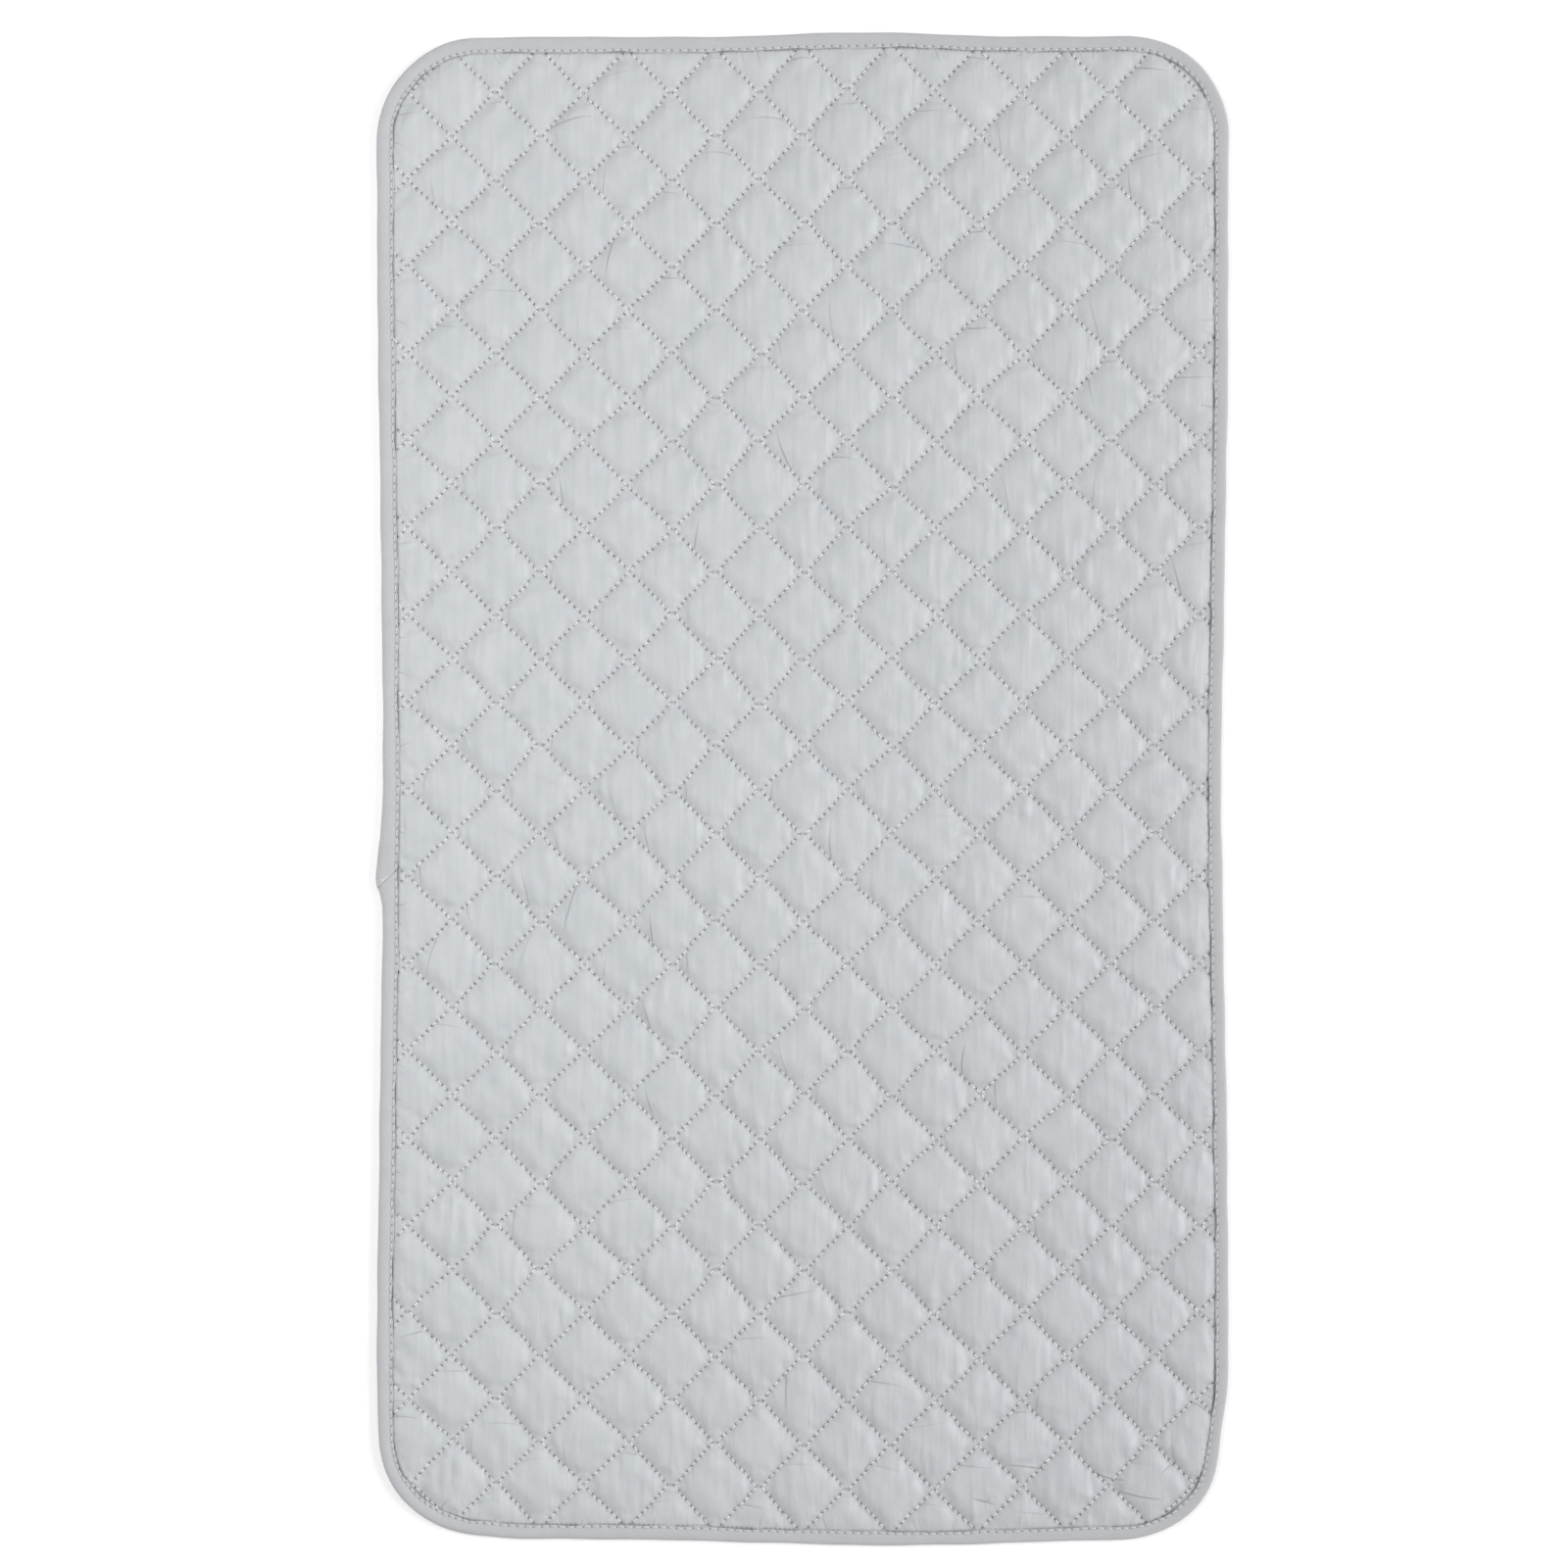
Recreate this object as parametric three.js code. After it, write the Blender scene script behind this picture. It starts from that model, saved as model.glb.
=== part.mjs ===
// Quilted ironing pad, lying flat: a silver face cloth, a sheet of wadding and a backing cloth,
// quilted into diamonds by rows of zigzag lockstitch and bound round the edge with folded tape.
// Millimetres. X is the width, Y the length, Z is up from the table. The origin is the centre of
// the underside.

import * as THREE from "three";

// Outline of the finished pad.
const PAD_WIDTH = 480;
const PAD_LENGTH = 850;
const CORNER_RADIUS = 58;
// How far each long side is drawn in at mid-length, where the quilting has pulled the pad narrower.
const WAIST = 3.5;

// Quilting: the gap between two columns of turns, and the advance of the pad from turn to turn.
const NEEDLE_GAUGE = 24.75;
const ROW_ADVANCE = 24.6;
// How far apart two neighbouring zigzags stay where their turns face each other.
const TURN_GAP = 0.8;
// A diamond fills out where its centre lies at least this far inside the binding.
const FILL_MARGIN = 19;

// Thicknesses of the layers. The wadding's is where the stitches pinch it.
const FACE_CLOTH = 0.3;
const WADDING_PINCHED = 0.6;
const BACKING_CLOTH = 0.3;
// How far the middle of a diamond stands above its stitches, and hangs below them.
const FACE_CROWN = 2.3;
const BACKING_CROWN = 0.9;

// Binding: one folded tape, sewn through all the layers near its inner edge.
const BINDING_WIDTH = 8.5;
const TAPE_THICKNESS = 0.4;
const SEAM_INSET = 1.5;
// From its inner edge the tape lies flat to this far past the seam, then slopes up to its fold.
const SEAM_SEAT = 0.8;
const SEAM_SLOPE = 1.2;

// Sewing thread, flattened where it lies on the cloth.
const THREAD_WIDTH = 0.5;
const THREAD_HEIGHT = 0.35;

// Clearance between pieces that lie on each other, and between the layers' cut edge and the fold.
const LAYER_GAP = 0.1;
const FOLD_GAP = 0.4;

// Facets of each round corner, of the drawn-in long sides and of the tape's fold.
const BINDING_CORNER_STEPS = 8;
const SHEET_CORNER_STEPS = 2;
const SIDE_STEPS = 4;
const FOLD_STEPS = 3;
// Halvings of a line when finding where it leaves the outline.
const HALVINGS = 40;

// Heights of the layers at a line of stitches, from the table up. The seam draws the tape in, top
// and bottom, just far enough for its threads to lie below the fold's own top and bottom.
const seamDepth = THREAD_HEIGHT + 2 * LAYER_GAP;
const lowerPly = seamDepth;
const backingUnder = lowerPly + TAPE_THICKNESS + LAYER_GAP;
const backingTop = backingUnder + BACKING_CLOTH;
const waddingUnder = backingTop + LAYER_GAP;
const waddingTop = waddingUnder + WADDING_PINCHED;
const faceUnder = waddingTop + LAYER_GAP;
const faceTop = faceUnder + FACE_CLOTH;
const upperPly = faceTop + LAYER_GAP;
const foldHeight = upperPly + TAPE_THICKNESS + seamDepth;

// The fold is round outside and inside, and the layers' edges stop a gap short of its inside.
const foldRadius = foldHeight / 2;
const foldInside = foldRadius - TAPE_THICKNESS;
const halfStack = (faceTop - backingUnder) / 2;
const sheetInset = foldRadius - Math.sqrt(foldInside ** 2 - halfStack ** 2) + FOLD_GAP;
// The stitched field ends at the binding's inner edge.
const fieldInset = BINDING_WIDTH + LAYER_GAP;

// The pad's half width at a distance y along it, drawn in at mid-length.
function halfWidthAt(y) {
  const straight = PAD_LENGTH / 2 - CORNER_RADIUS;
  const along = Math.min(Math.abs(y) / straight, 1);
  return PAD_WIDTH / 2 - WAIST * Math.cos((Math.PI / 2) * along) ** 2;
}

// Whether a point lies inside the outline drawn in by an inset.
function isInside(point, inset) {
  const radius = CORNER_RADIUS - inset;
  const beyondX = Math.abs(point.x) - (halfWidthAt(point.y) - CORNER_RADIUS);
  const beyondY = Math.abs(point.y) - (PAD_LENGTH / 2 - CORNER_RADIUS);
  return beyondX > 0 && beyondY > 0
    ? Math.hypot(beyondX, beyondY) <= radius
    : Math.max(beyondX, beyondY) <= radius;
}

// The last point inside the inset outline on the way from an inner point to another point.
function lastInside(inner, outer, inset) {
  if (isInside(outer, inset)) {
    return outer.clone();
  }
  let near = 0;
  let far = 1;
  for (let halving = 0; halving < HALVINGS; halving += 1) {
    const middle = (near + far) / 2;
    if (isInside(inner.clone().lerp(outer, middle), inset)) {
      near = middle;
    } else {
      far = middle;
    }
  }
  return inner.clone().lerp(outer, near);
}

// The inset outline as a counterclockwise loop: four round corners joined by drawn-in long sides
// and straight ends.
function outline(inset, cornerSteps) {
  const radius = CORNER_RADIUS - inset;
  const straight = PAD_LENGTH / 2 - CORNER_RADIUS;
  const loop = [];
  for (let corner = 0; corner < 4; corner += 1) {
    const right = corner === 0 || corner === 3 ? 1 : -1;
    const top = corner < 2 ? 1 : -1;
    for (let step = 0; step <= cornerSteps; step += 1) {
      const angle = (Math.PI / 2) * (corner + step / cornerSteps);
      const x = right * (PAD_WIDTH / 2 - CORNER_RADIUS) + radius * Math.cos(angle);
      const y = top * straight + radius * Math.sin(angle);
      loop.push(new THREE.Vector2(x, y));
    }
    const sideFollows = corner === 1 || corner === 3;
    for (let step = 1; sideFollows && step < SIDE_STEPS; step += 1) {
      const y = top * straight * (1 - (2 * step) / SIDE_STEPS);
      loop.push(new THREE.Vector2(right * (halfWidthAt(y) - inset), y));
    }
  }
  return loop;
}

// A closed faceted body from its corner points and its triangles.
function body(positions, triangles) {
  const geometry = new THREE.BufferGeometry();
  geometry.setAttribute("position", new THREE.Float32BufferAttribute(positions.flat(), 3));
  geometry.setIndex(triangles.flat());
  const faceted = geometry.toNonIndexed();
  faceted.computeVertexNormals();
  return faceted;
}

// A section swept along a level path, mitred at each turn. The section's points are pairs of a
// distance to the left of the path and a height, counterclockwise. A loop joins its own start.
function sweep(path, section, isLoop) {
  const positions = [];
  path.forEach((point, k) => {
    const isFirst = k === 0 && !isLoop;
    const isLast = k === path.length - 1 && !isLoop;
    const before = isFirst ? point : path.at(k - 1);
    const after = isLast ? point : path[(k + 1) % path.length];
    const arriving = (isFirst ? after.clone().sub(point) : point.clone().sub(before)).normalize();
    const leaving = (isLast ? arriving.clone() : after.clone().sub(point)).normalize();
    const mitre = arriving.clone().add(leaving).divideScalar(1 + arriving.dot(leaving));
    for (const [left, height] of section) {
      positions.push([point.x - mitre.y * left, point.y + mitre.x * left, height]);
    }
  });

  const count = section.length;
  const triangles = [];
  const lastRing = isLoop ? path.length : path.length - 1;
  for (let ring = 0; ring < lastRing; ring += 1) {
    const here = ring * count;
    const next = ((ring + 1) % path.length) * count;
    for (let k = 0; k < count; k += 1) {
      const up = (k + 1) % count;
      triangles.push([here + k, here + up, next + up], [here + k, next + up, next + k]);
    }
  }
  if (!isLoop) {
    const end = (path.length - 1) * count;
    for (let k = 1; k < count - 1; k += 1) {
      triangles.push([0, k + 1, k], [end, end + k, end + k + 1]);
    }
  }
  return body(positions, triangles);
}

// A place on the quilting lattice. Stitch lines cross where column and row add up to an odd
// number, and a diamond's centre is where they add up to an even one.
function latticePoint(column, row) {
  return new THREE.Vector2(column * NEEDLE_GAUGE, row * ROW_ADVANCE);
}

const padCentre = new THREE.Vector2(0, 0);
const columnReach = Math.ceil(PAD_WIDTH / 2 / NEEDLE_GAUGE);
const rowReach = Math.ceil(PAD_LENGTH / 2 / ROW_ADVANCE);

// The plan that all three layers share: diamonds fanned out from their centres, and a flat border
// from the outermost diamonds to the layers' cut edge.
function quiltPlan() {
  const points = [];
  const isCrown = [];
  const triangles = [];
  const crossings = new Map();
  const edgeEnds = new Map();

  function addPoint(point, crown) {
    isCrown.push(crown);
    return points.push(point) - 1;
  }

  function crossing(column, row) {
    const key = `${column} ${row}`;
    if (!crossings.has(key)) {
      const point = lastInside(padCentre, latticePoint(column, row), fieldInset);
      crossings.set(key, addPoint(point, false));
    }
    return crossings.get(key);
  }

  for (let column = -columnReach; column <= columnReach; column += 1) {
    for (let row = -rowReach; row <= rowReach; row += 1) {
      const isCentre = (column + row) % 2 === 0;
      const place = latticePoint(column, row);
      if (isCentre && isInside(place, fieldInset + FILL_MARGIN)) {
        const centre = addPoint(place, true);
        const corners = [
          crossing(column + 1, row),
          crossing(column, row + 1),
          crossing(column - 1, row),
          crossing(column, row - 1),
        ];
        corners.forEach((start, k) => {
          const end = corners[(k + 1) % corners.length];
          triangles.push([centre, start, end]);
          edgeEnds.set(`${start} ${end}`, [start, end]);
        });
      }
    }
  }

  // The edges that no neighbouring diamond shares chain into one loop round the diamonds.
  const nextOnLoop = new Map();
  for (const [start, end] of edgeEnds.values()) {
    if (!edgeEnds.has(`${end} ${start}`)) {
      nextOnLoop.set(start, end);
    }
  }
  const first = nextOnLoop.keys().next().value;
  const inner = [first];
  while (nextOnLoop.get(inner.at(-1)) !== first) {
    inner.push(nextOnLoop.get(inner.at(-1)));
  }

  const rim = outline(sheetInset, SHEET_CORNER_STEPS).map((point) => addPoint(point, false));
  const border = [...rim, ...inner];
  const rimPoints = rim.map((k) => points[k]);
  const innerPoints = inner.map((k) => points[k]);
  for (const triple of THREE.ShapeUtils.triangulateShape(rimPoints, [innerPoints])) {
    const [a, b, c] = triple.map((k) => border[k]);
    const isClockwise = THREE.ShapeUtils.area([points[a], points[b], points[c]]) < 0;
    triangles.push(isClockwise ? [a, c, b] : [a, b, c]);
  }
  return { points, isCrown, triangles, rim };
}

const plan = quiltPlan();

// One layer of the quilt, between a lower and an upper surface. Each surface has the height of its
// stitch lines and how far the diamonds' middles rise above them.
function quiltLayer(lower, upper) {
  const count = plan.points.length;
  const surface = ({ stitched, crown }) =>
    plan.points.map((point, k) => [point.x, point.y, stitched + (plan.isCrown[k] ? crown : 0)]);
  const triangles = [];
  for (const [a, b, c] of plan.triangles) {
    triangles.push([a, c, b], [count + a, count + b, count + c]);
  }
  plan.rim.forEach((here, k) => {
    const next = plan.rim[(k + 1) % plan.rim.length];
    triangles.push([here, next, count + next], [here, count + next, count + here]);
  });
  return body([...surface(lower), ...surface(upper)], triangles);
}

// The tape's section: distance in from the pad's edge, and height. A round fold at the edge runs
// into two flat plies, which the seam draws together before their inner edges.
function bindingSection() {
  const seatStart = BINDING_WIDTH - SEAM_INSET - SEAM_SEAT;
  const slopeStart = seatStart - SEAM_SLOPE;
  const lipTop = foldHeight - seamDepth;
  const arc = (radius) =>
    Array.from({ length: FOLD_STEPS }, (_, step) => {
      const angle = (Math.PI / 2) * ((step + 1) / FOLD_STEPS);
      return [foldRadius - radius * Math.cos(angle), foldRadius + radius * Math.sin(angle)];
    });
  const outside = [
    ...arc(foldRadius),
    [slopeStart, foldHeight],
    [seatStart, lipTop],
    [BINDING_WIDTH, lipTop],
  ];
  const inside = [
    ...arc(foldInside),
    [slopeStart, foldHeight - TAPE_THICKNESS],
    [seatStart, lipTop - TAPE_THICKNESS],
    [BINDING_WIDTH, lipTop - TAPE_THICKNESS],
  ];
  const mirrored = (half) => half.map(([inset, height]) => [inset, foldHeight - height]);
  return [
    [0, foldRadius],
    ...mirrored(outside),
    ...mirrored(inside).reverse(),
    [TAPE_THICKNESS, foldRadius],
    ...inside,
    ...outside.reverse(),
  ];
}

// A thread's section, flat where it lies on the cloth and peaked away from it.
function threadSection(base, height, left) {
  const half = THREAD_WIDTH / 2;
  return height > 0
    ? [[left - half, base], [left + half, base], [left, base + height]]
    : [[left + half, base], [left - half, base], [left, base + height]];
}

// The zigzag of one needle, between a column of turns and the next, as far as the binding.
function zigzag(column) {
  const turns = [];
  for (let row = -rowReach; row <= rowReach; row += 1) {
    const isLeft = (column + row) % 2 !== 0;
    const turn = latticePoint(isLeft ? column : column + 1, row);
    turn.x += isLeft ? TURN_GAP / 2 : -TURN_GAP / 2;
    turns.push(turn);
  }
  const threadInset = fieldInset + THREAD_WIDTH;
  const clipped = [turns[rowReach]];
  for (let row = rowReach + 1; row < turns.length && isInside(turns[row - 1], threadInset); row += 1) {
    clipped.push(lastInside(turns[row - 1], turns[row], threadInset));
  }
  for (let row = rowReach - 1; row >= 0 && isInside(turns[row + 1], threadInset); row -= 1) {
    clipped.unshift(lastInside(turns[row + 1], turns[row], threadInset));
  }
  return clipped;
}

const silverCloth = new THREE.MeshStandardMaterial({ color: 0xc8ccd0, roughness: 0.5, metalness: 0.3 });
const whiteWadding = new THREE.MeshStandardMaterial({ color: 0xf0efea, roughness: 0.95, metalness: 0 });
const backingCotton = new THREE.MeshStandardMaterial({ color: 0xdcdcd8, roughness: 0.85, metalness: 0 });
const bindingTape = new THREE.MeshStandardMaterial({ color: 0xc6c8cc, roughness: 0.7, metalness: 0.1 });
const sewingThread = new THREE.MeshStandardMaterial({ color: 0xd2d4d8, roughness: 0.45, metalness: 0 });

const pad = new THREE.Group();

function addPiece(name, geometry, material) {
  const mesh = new THREE.Mesh(geometry, material);
  mesh.name = name;
  pad.add(mesh);
}

const face = quiltLayer(
  { stitched: faceUnder, crown: FACE_CROWN },
  { stitched: faceTop, crown: FACE_CROWN },
);
const wadding = quiltLayer(
  { stitched: waddingUnder, crown: -BACKING_CROWN },
  { stitched: waddingTop, crown: FACE_CROWN },
);
const backing = quiltLayer(
  { stitched: backingUnder, crown: -BACKING_CROWN },
  { stitched: backingTop, crown: -BACKING_CROWN },
);
addPiece("face_cloth", face, silverCloth);
addPiece("wadding", wadding, whiteWadding);
addPiece("backing_cloth", backing, backingCotton);

const edge = outline(0, BINDING_CORNER_STEPS);
addPiece("edge_binding", sweep(edge, bindingSection(), true), bindingTape);

// The binding's seam: a needle thread on the upper ply and a bobbin thread under the lower one.
const seamLine = BINDING_WIDTH - SEAM_INSET;
const seamAbove = threadSection(foldHeight - seamDepth + LAYER_GAP, THREAD_HEIGHT, seamLine);
const seamBelow = threadSection(lowerPly - LAYER_GAP, -THREAD_HEIGHT, seamLine);
addPiece("binding_seam_thread", sweep(edge, seamAbove, true), sewingThread);
addPiece("binding_bobbin_thread", sweep(edge, seamBelow, true), sewingThread);

// Each needle's thread lies in the channels on the face, and its bobbin thread under the backing.
// Both clear the slope of the diamonds at their turns, where they lie furthest from the channel.
const turnOffset = TURN_GAP / 2 + THREAD_WIDTH * Math.SQRT1_2;
const faceRise = (FACE_CROWN * turnOffset) / NEEDLE_GAUGE;
const backingDrop = (BACKING_CROWN * turnOffset) / NEEDLE_GAUGE;
const stitchAbove = threadSection(faceTop + LAYER_GAP + faceRise, THREAD_HEIGHT, 0);
const stitchBelow = threadSection(backingUnder - LAYER_GAP - backingDrop, -THREAD_HEIGHT, 0);
const outermostColumn = Math.floor((halfWidthAt(0) - fieldInset - 2 * THREAD_WIDTH) / NEEDLE_GAUGE);
for (let column = -outermostColumn; column < outermostColumn; column += 1) {
  const number = String(column + outermostColumn + 1).padStart(2, "0");
  const path = zigzag(column);
  addPiece(`quilt_thread_${number}`, sweep(path, stitchAbove, false), sewingThread);
  addPiece(`bobbin_thread_${number}`, sweep(path, stitchBelow, false), sewingThread);
}

export default pad;
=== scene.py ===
# %% [markdown]
# # A quilted ironing pad
#
# The pad is three layers of cloth, sewn together in diamonds by zigzag stitches and bound round
# the edge with folded tape. Solids of every piece already lie in place in the frame. This lesson
# replaces each of them with a fuller surface: cloth that is pinned along its stitches and blown up
# by simulation, threads made of single stitches, and a tape with folds and puckers.

import bpy
import numpy as np
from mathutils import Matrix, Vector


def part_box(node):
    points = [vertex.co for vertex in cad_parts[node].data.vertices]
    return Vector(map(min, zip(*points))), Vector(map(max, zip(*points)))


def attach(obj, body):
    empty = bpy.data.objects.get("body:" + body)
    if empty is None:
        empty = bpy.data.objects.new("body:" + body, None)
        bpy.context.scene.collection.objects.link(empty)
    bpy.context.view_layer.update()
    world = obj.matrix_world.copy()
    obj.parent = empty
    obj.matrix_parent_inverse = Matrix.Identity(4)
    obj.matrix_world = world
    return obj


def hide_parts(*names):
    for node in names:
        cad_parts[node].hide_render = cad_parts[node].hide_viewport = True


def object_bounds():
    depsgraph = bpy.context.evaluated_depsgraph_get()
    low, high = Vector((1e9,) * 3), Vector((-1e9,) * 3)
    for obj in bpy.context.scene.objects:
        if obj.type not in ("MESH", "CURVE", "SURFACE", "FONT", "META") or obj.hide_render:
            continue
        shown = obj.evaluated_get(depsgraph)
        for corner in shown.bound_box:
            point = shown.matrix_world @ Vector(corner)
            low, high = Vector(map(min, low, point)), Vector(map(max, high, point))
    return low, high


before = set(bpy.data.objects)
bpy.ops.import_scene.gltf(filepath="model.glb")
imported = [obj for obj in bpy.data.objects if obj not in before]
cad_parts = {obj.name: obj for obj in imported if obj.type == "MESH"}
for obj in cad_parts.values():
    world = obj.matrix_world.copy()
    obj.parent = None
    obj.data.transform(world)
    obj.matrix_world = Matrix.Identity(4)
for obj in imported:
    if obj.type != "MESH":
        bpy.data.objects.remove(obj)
cad_low, cad_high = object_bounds()
print("frame:", len(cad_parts), "solids, box", [round(v, 4) for v in cad_high - cad_low])

# %% [markdown]
# ## Sizes
#
# Everything is in metres, in the frame of the solids: X across, Y along, Z up from the table. The
# heights of the layers come from the solids' own boxes, so the surfaces land where the solids are.

# %% Sizes of the pad
MM = 0.001
WIDTH = cad_high.x - cad_low.x
LENGTH = cad_high.y - cad_low.y
CORNER = 58 * MM
WAIST = 3.5 * MM
STRAIGHT = LENGTH / 2 - CORNER

GAUGE = 24.75 * MM
ADVANCE = 24.6 * MM
STITCHES_PER_SIDE = 9
OUTER_COLUMN = 9

BINDING_WIDTH = 8.5 * MM
SEAM_INSET = 7.45 * MM
THREAD_CLEARANCE = 0.1 * MM
FACE_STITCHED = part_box("quilt_thread_09")[0].z - THREAD_CLEARANCE
BACKING_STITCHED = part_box("bobbin_thread_09")[1].z + THREAD_CLEARANCE
print("stitch lines at", round(FACE_STITCHED, 5), "and", round(BACKING_STITCHED, 5))

# %% [markdown]
# ## The outline
#
# A rectangle with round corners is easiest to handle as a distance: how far inside the edge is
# this point? One formula then trims the cloth, ends the stitches and finds what the tape covers.
# The long sides are drawn in at mid-length by a squared cosine, as quilting draws a pad in.

# %% Distance inside the edge
ARC_POINTS = 40
SIDE_POINTS = 120
TAPE_TRIM = 0.35
TAPE_LEFT = 0.65
TAPE_TOP = 0.3


def half_width(y):
    """Half the width, drawn in by WAIST times the squared cosine of a quarter turn per STRAIGHT."""
    along = np.clip(np.abs(y) / STRAIGHT, 0, 1)
    return WIDTH / 2 - WAIST * np.cos(np.pi / 2 * along) ** 2


def inset_at(x, y):
    """How far inside the edge: the corner radius less the distance outside the inner rectangle."""
    beyond_x = np.abs(x) - (half_width(y) - CORNER)
    beyond_y = np.abs(y) - STRAIGHT
    outside = np.hypot(np.maximum(beyond_x, 0), np.maximum(beyond_y, 0))
    return CORNER - outside - np.minimum(np.maximum(beyond_x, beyond_y), 0)


def edge_path(count):
    """The edge as count points evenly spaced, and its length: arcs and sides resampled by length."""
    turn = np.linspace(0, np.pi / 2, ARC_POINTS)
    side = np.linspace(1, -1, SIDE_POINTS)[1:-1] * STRAIGHT
    loop = []
    for quarter, (right, top) in enumerate([(1, 1), (-1, 1), (-1, -1), (1, -1)]):
        angle = turn + quarter * np.pi / 2
        x = right * (WIDTH / 2 - CORNER) + CORNER * np.cos(angle)
        y = top * STRAIGHT + CORNER * np.sin(angle)
        loop.append(np.stack([x, y], -1))
        if right != top:
            y = top * side
            loop.append(np.stack([right * half_width(y), y], -1))
    loop = np.concatenate(loop + [loop[0][:1]])
    length = np.concatenate([[0], np.cumsum(np.linalg.norm(np.diff(loop, axis=0), axis=1))])
    at = np.linspace(0, length[-1], count, endpoint=False)
    return np.stack([np.interp(at, length, loop[:, k]) for k in range(2)], -1), length[-1]


def inward(path):
    """Unit normals to the left of a closed path, from the difference of each point's neighbours."""
    along = np.roll(path, -1, 0) - np.roll(path, 1, 0)
    along /= np.linalg.norm(along, axis=1, keepdims=True)
    return np.stack([-along[:, 1], along[:, 0]], -1)


def tape_width(x, y):
    """How far in the tape reaches: the full width less a trim in millimetres that grows to the right
    and shrinks to the top, as it was sewn by hand."""
    trim = TAPE_TRIM + TAPE_LEFT * x / (WIDTH / 2) - TAPE_TOP * y / (LENGTH / 2)
    return BINDING_WIDTH - trim * MM


edge_length = edge_path(1)[1]
print("edge", round(edge_length, 3), "m round")

# %% [markdown]
# ## How this pad lies
#
# No sewn pad is a perfect rectangle. Its ends bow, its four corners were rounded by hand, and the
# quilting wandered a little on the machine. One smooth displacement is added to every piece at the
# end, so that cloth, stitches and tape stay together. It is mostly a sum of bells, because a bell
# moves one place and fades out round it. Long waves let the quilting wander.

# %% Displacement of every piece
CORNER_PULL = {(-1, 1): 0.8 * MM, (1, 1): -2.2 * MM, (-1, -1): 4.2 * MM, (1, -1): 1.2 * MM}
CORNER_SPREAD = 55 * MM
END_SPREAD = 90 * MM
TOP_DROP = 1.2 * MM
TOP_RISE = 2.6 * MM
TOP_CREST = 38 * MM
TOP_SPREAD = 55 * MM
BOTTOM_BOW = 1.7 * MM
BOTTOM_WAVE = 330 * MM
BOTTOM_CREST = 50 * MM
BOTTOM_DENT = 2.6 * MM
BOTTOM_DENT_AT = -193 * MM
BOTTOM_DENT_SPREAD = 26 * MM
RIGHT_BULGE = 1.3 * MM
RIGHT_BULGE_GAP = 90 * MM
RIGHT_BULGE_REACH = 330 * MM
RIGHT_DENT = 3.8 * MM
RIGHT_DENT_AT = -374 * MM
RIGHT_DENT_SPREAD = 24 * MM
DRIFT = np.array([1.1, -0.9]) * MM
WANDER = 0.55 * MM
WANDER_WAVES = 14
WANDER_SPAN = (45 * MM, 160 * MM)


def bell(distance, spread):
    """A bell: exp of minus the square of distance over spread, 1 in the middle."""
    return np.exp(-((distance / spread) ** 2))


def ripples(x, y, count, across, along, seed):
    """Sum of plane waves: wavelengths drawn from across in x and from along in y, random phases."""
    draw = np.random.default_rng(seed)
    total = np.zeros_like(x)
    for _ in range(count):
        turn_x = 2 * np.pi / draw.uniform(*across)
        turn_y = 2 * np.pi / draw.uniform(*along) * draw.choice([-1, 1])
        total += np.sin(turn_x * x + turn_y * y + draw.uniform(0, 2 * np.pi))
    return total / np.sqrt(count / 2)


def lie(points):
    """Moves points in the plane: corners along their diagonals by a bell, the top end by a bell, the
    bottom end by a cosine and a bell, the right side by bells, all fading inwards, and the quilting
    by a drift and waves that vanish at the edge."""
    x, y = points[..., 0], points[..., 1]
    dx = np.zeros_like(x)
    dy = np.zeros_like(y)
    for (right, top), pull in CORNER_PULL.items():
        distance = np.hypot(x - right * WIDTH / 2, y - top * LENGTH / 2)
        share = pull * bell(distance, CORNER_SPREAD) / np.sqrt(2)
        dx -= right * share
        dy -= top * share
    top_share = bell(LENGTH / 2 - y, END_SPREAD)
    bottom_share = bell(LENGTH / 2 + y, END_SPREAD)
    dy += (TOP_RISE * bell(x - TOP_CREST, TOP_SPREAD) - TOP_DROP) * top_share
    dy -= BOTTOM_BOW * np.cos(2 * np.pi * (x - BOTTOM_CREST) / BOTTOM_WAVE) * bottom_share
    dy += BOTTOM_DENT * bell(x - BOTTOM_DENT_AT, BOTTOM_DENT_SPREAD) * bottom_share
    side = RIGHT_BULGE * (1 - bell(y, RIGHT_BULGE_GAP)) * np.exp(-((y / RIGHT_BULGE_REACH) ** 8))
    side -= RIGHT_DENT * bell(y - RIGHT_DENT_AT, RIGHT_DENT_SPREAD)
    dx += side * np.clip(2 * x / WIDTH, 0, 1) ** 3
    inner = np.clip(1 - (2 * x / WIDTH) ** 4, 0, 1) * np.clip(1 - (2 * y / LENGTH) ** 6, 0, 1)
    dx += inner * (DRIFT[0] + WANDER * ripples(x, y, WANDER_WAVES, WANDER_SPAN, WANDER_SPAN, 11))
    dy += inner * (DRIFT[1] + WANDER * ripples(x, y, WANDER_WAVES, WANDER_SPAN, WANDER_SPAN, 12))
    moved = points.copy()
    moved[..., 0] += dx
    moved[..., 1] += dy
    return moved


print("corner pulls", CORNER_PULL)

# %% [markdown]
# ## The quilting lattice
#
# Stitches run on two families of slanted lines, so the cloth's grid is slanted too: coordinate a
# counts along one family and b along the other, and a line of stitches lies wherever a or b is an
# odd number. Grid lines then follow every stitch line, and each needle hole is a grid point.

# %% Sheet grid
GRID_PER_SIDE = 2 * STITCHES_PER_SIDE
LATTICE_REACH = 29
CLOTH_EDGE = 3.0 * MM


def to_lattice(line):
    """The lattice coordinate of a grid line, two units to every GRID_PER_SIDE lines."""
    return line * 2 / GRID_PER_SIDE - LATTICE_REACH


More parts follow.
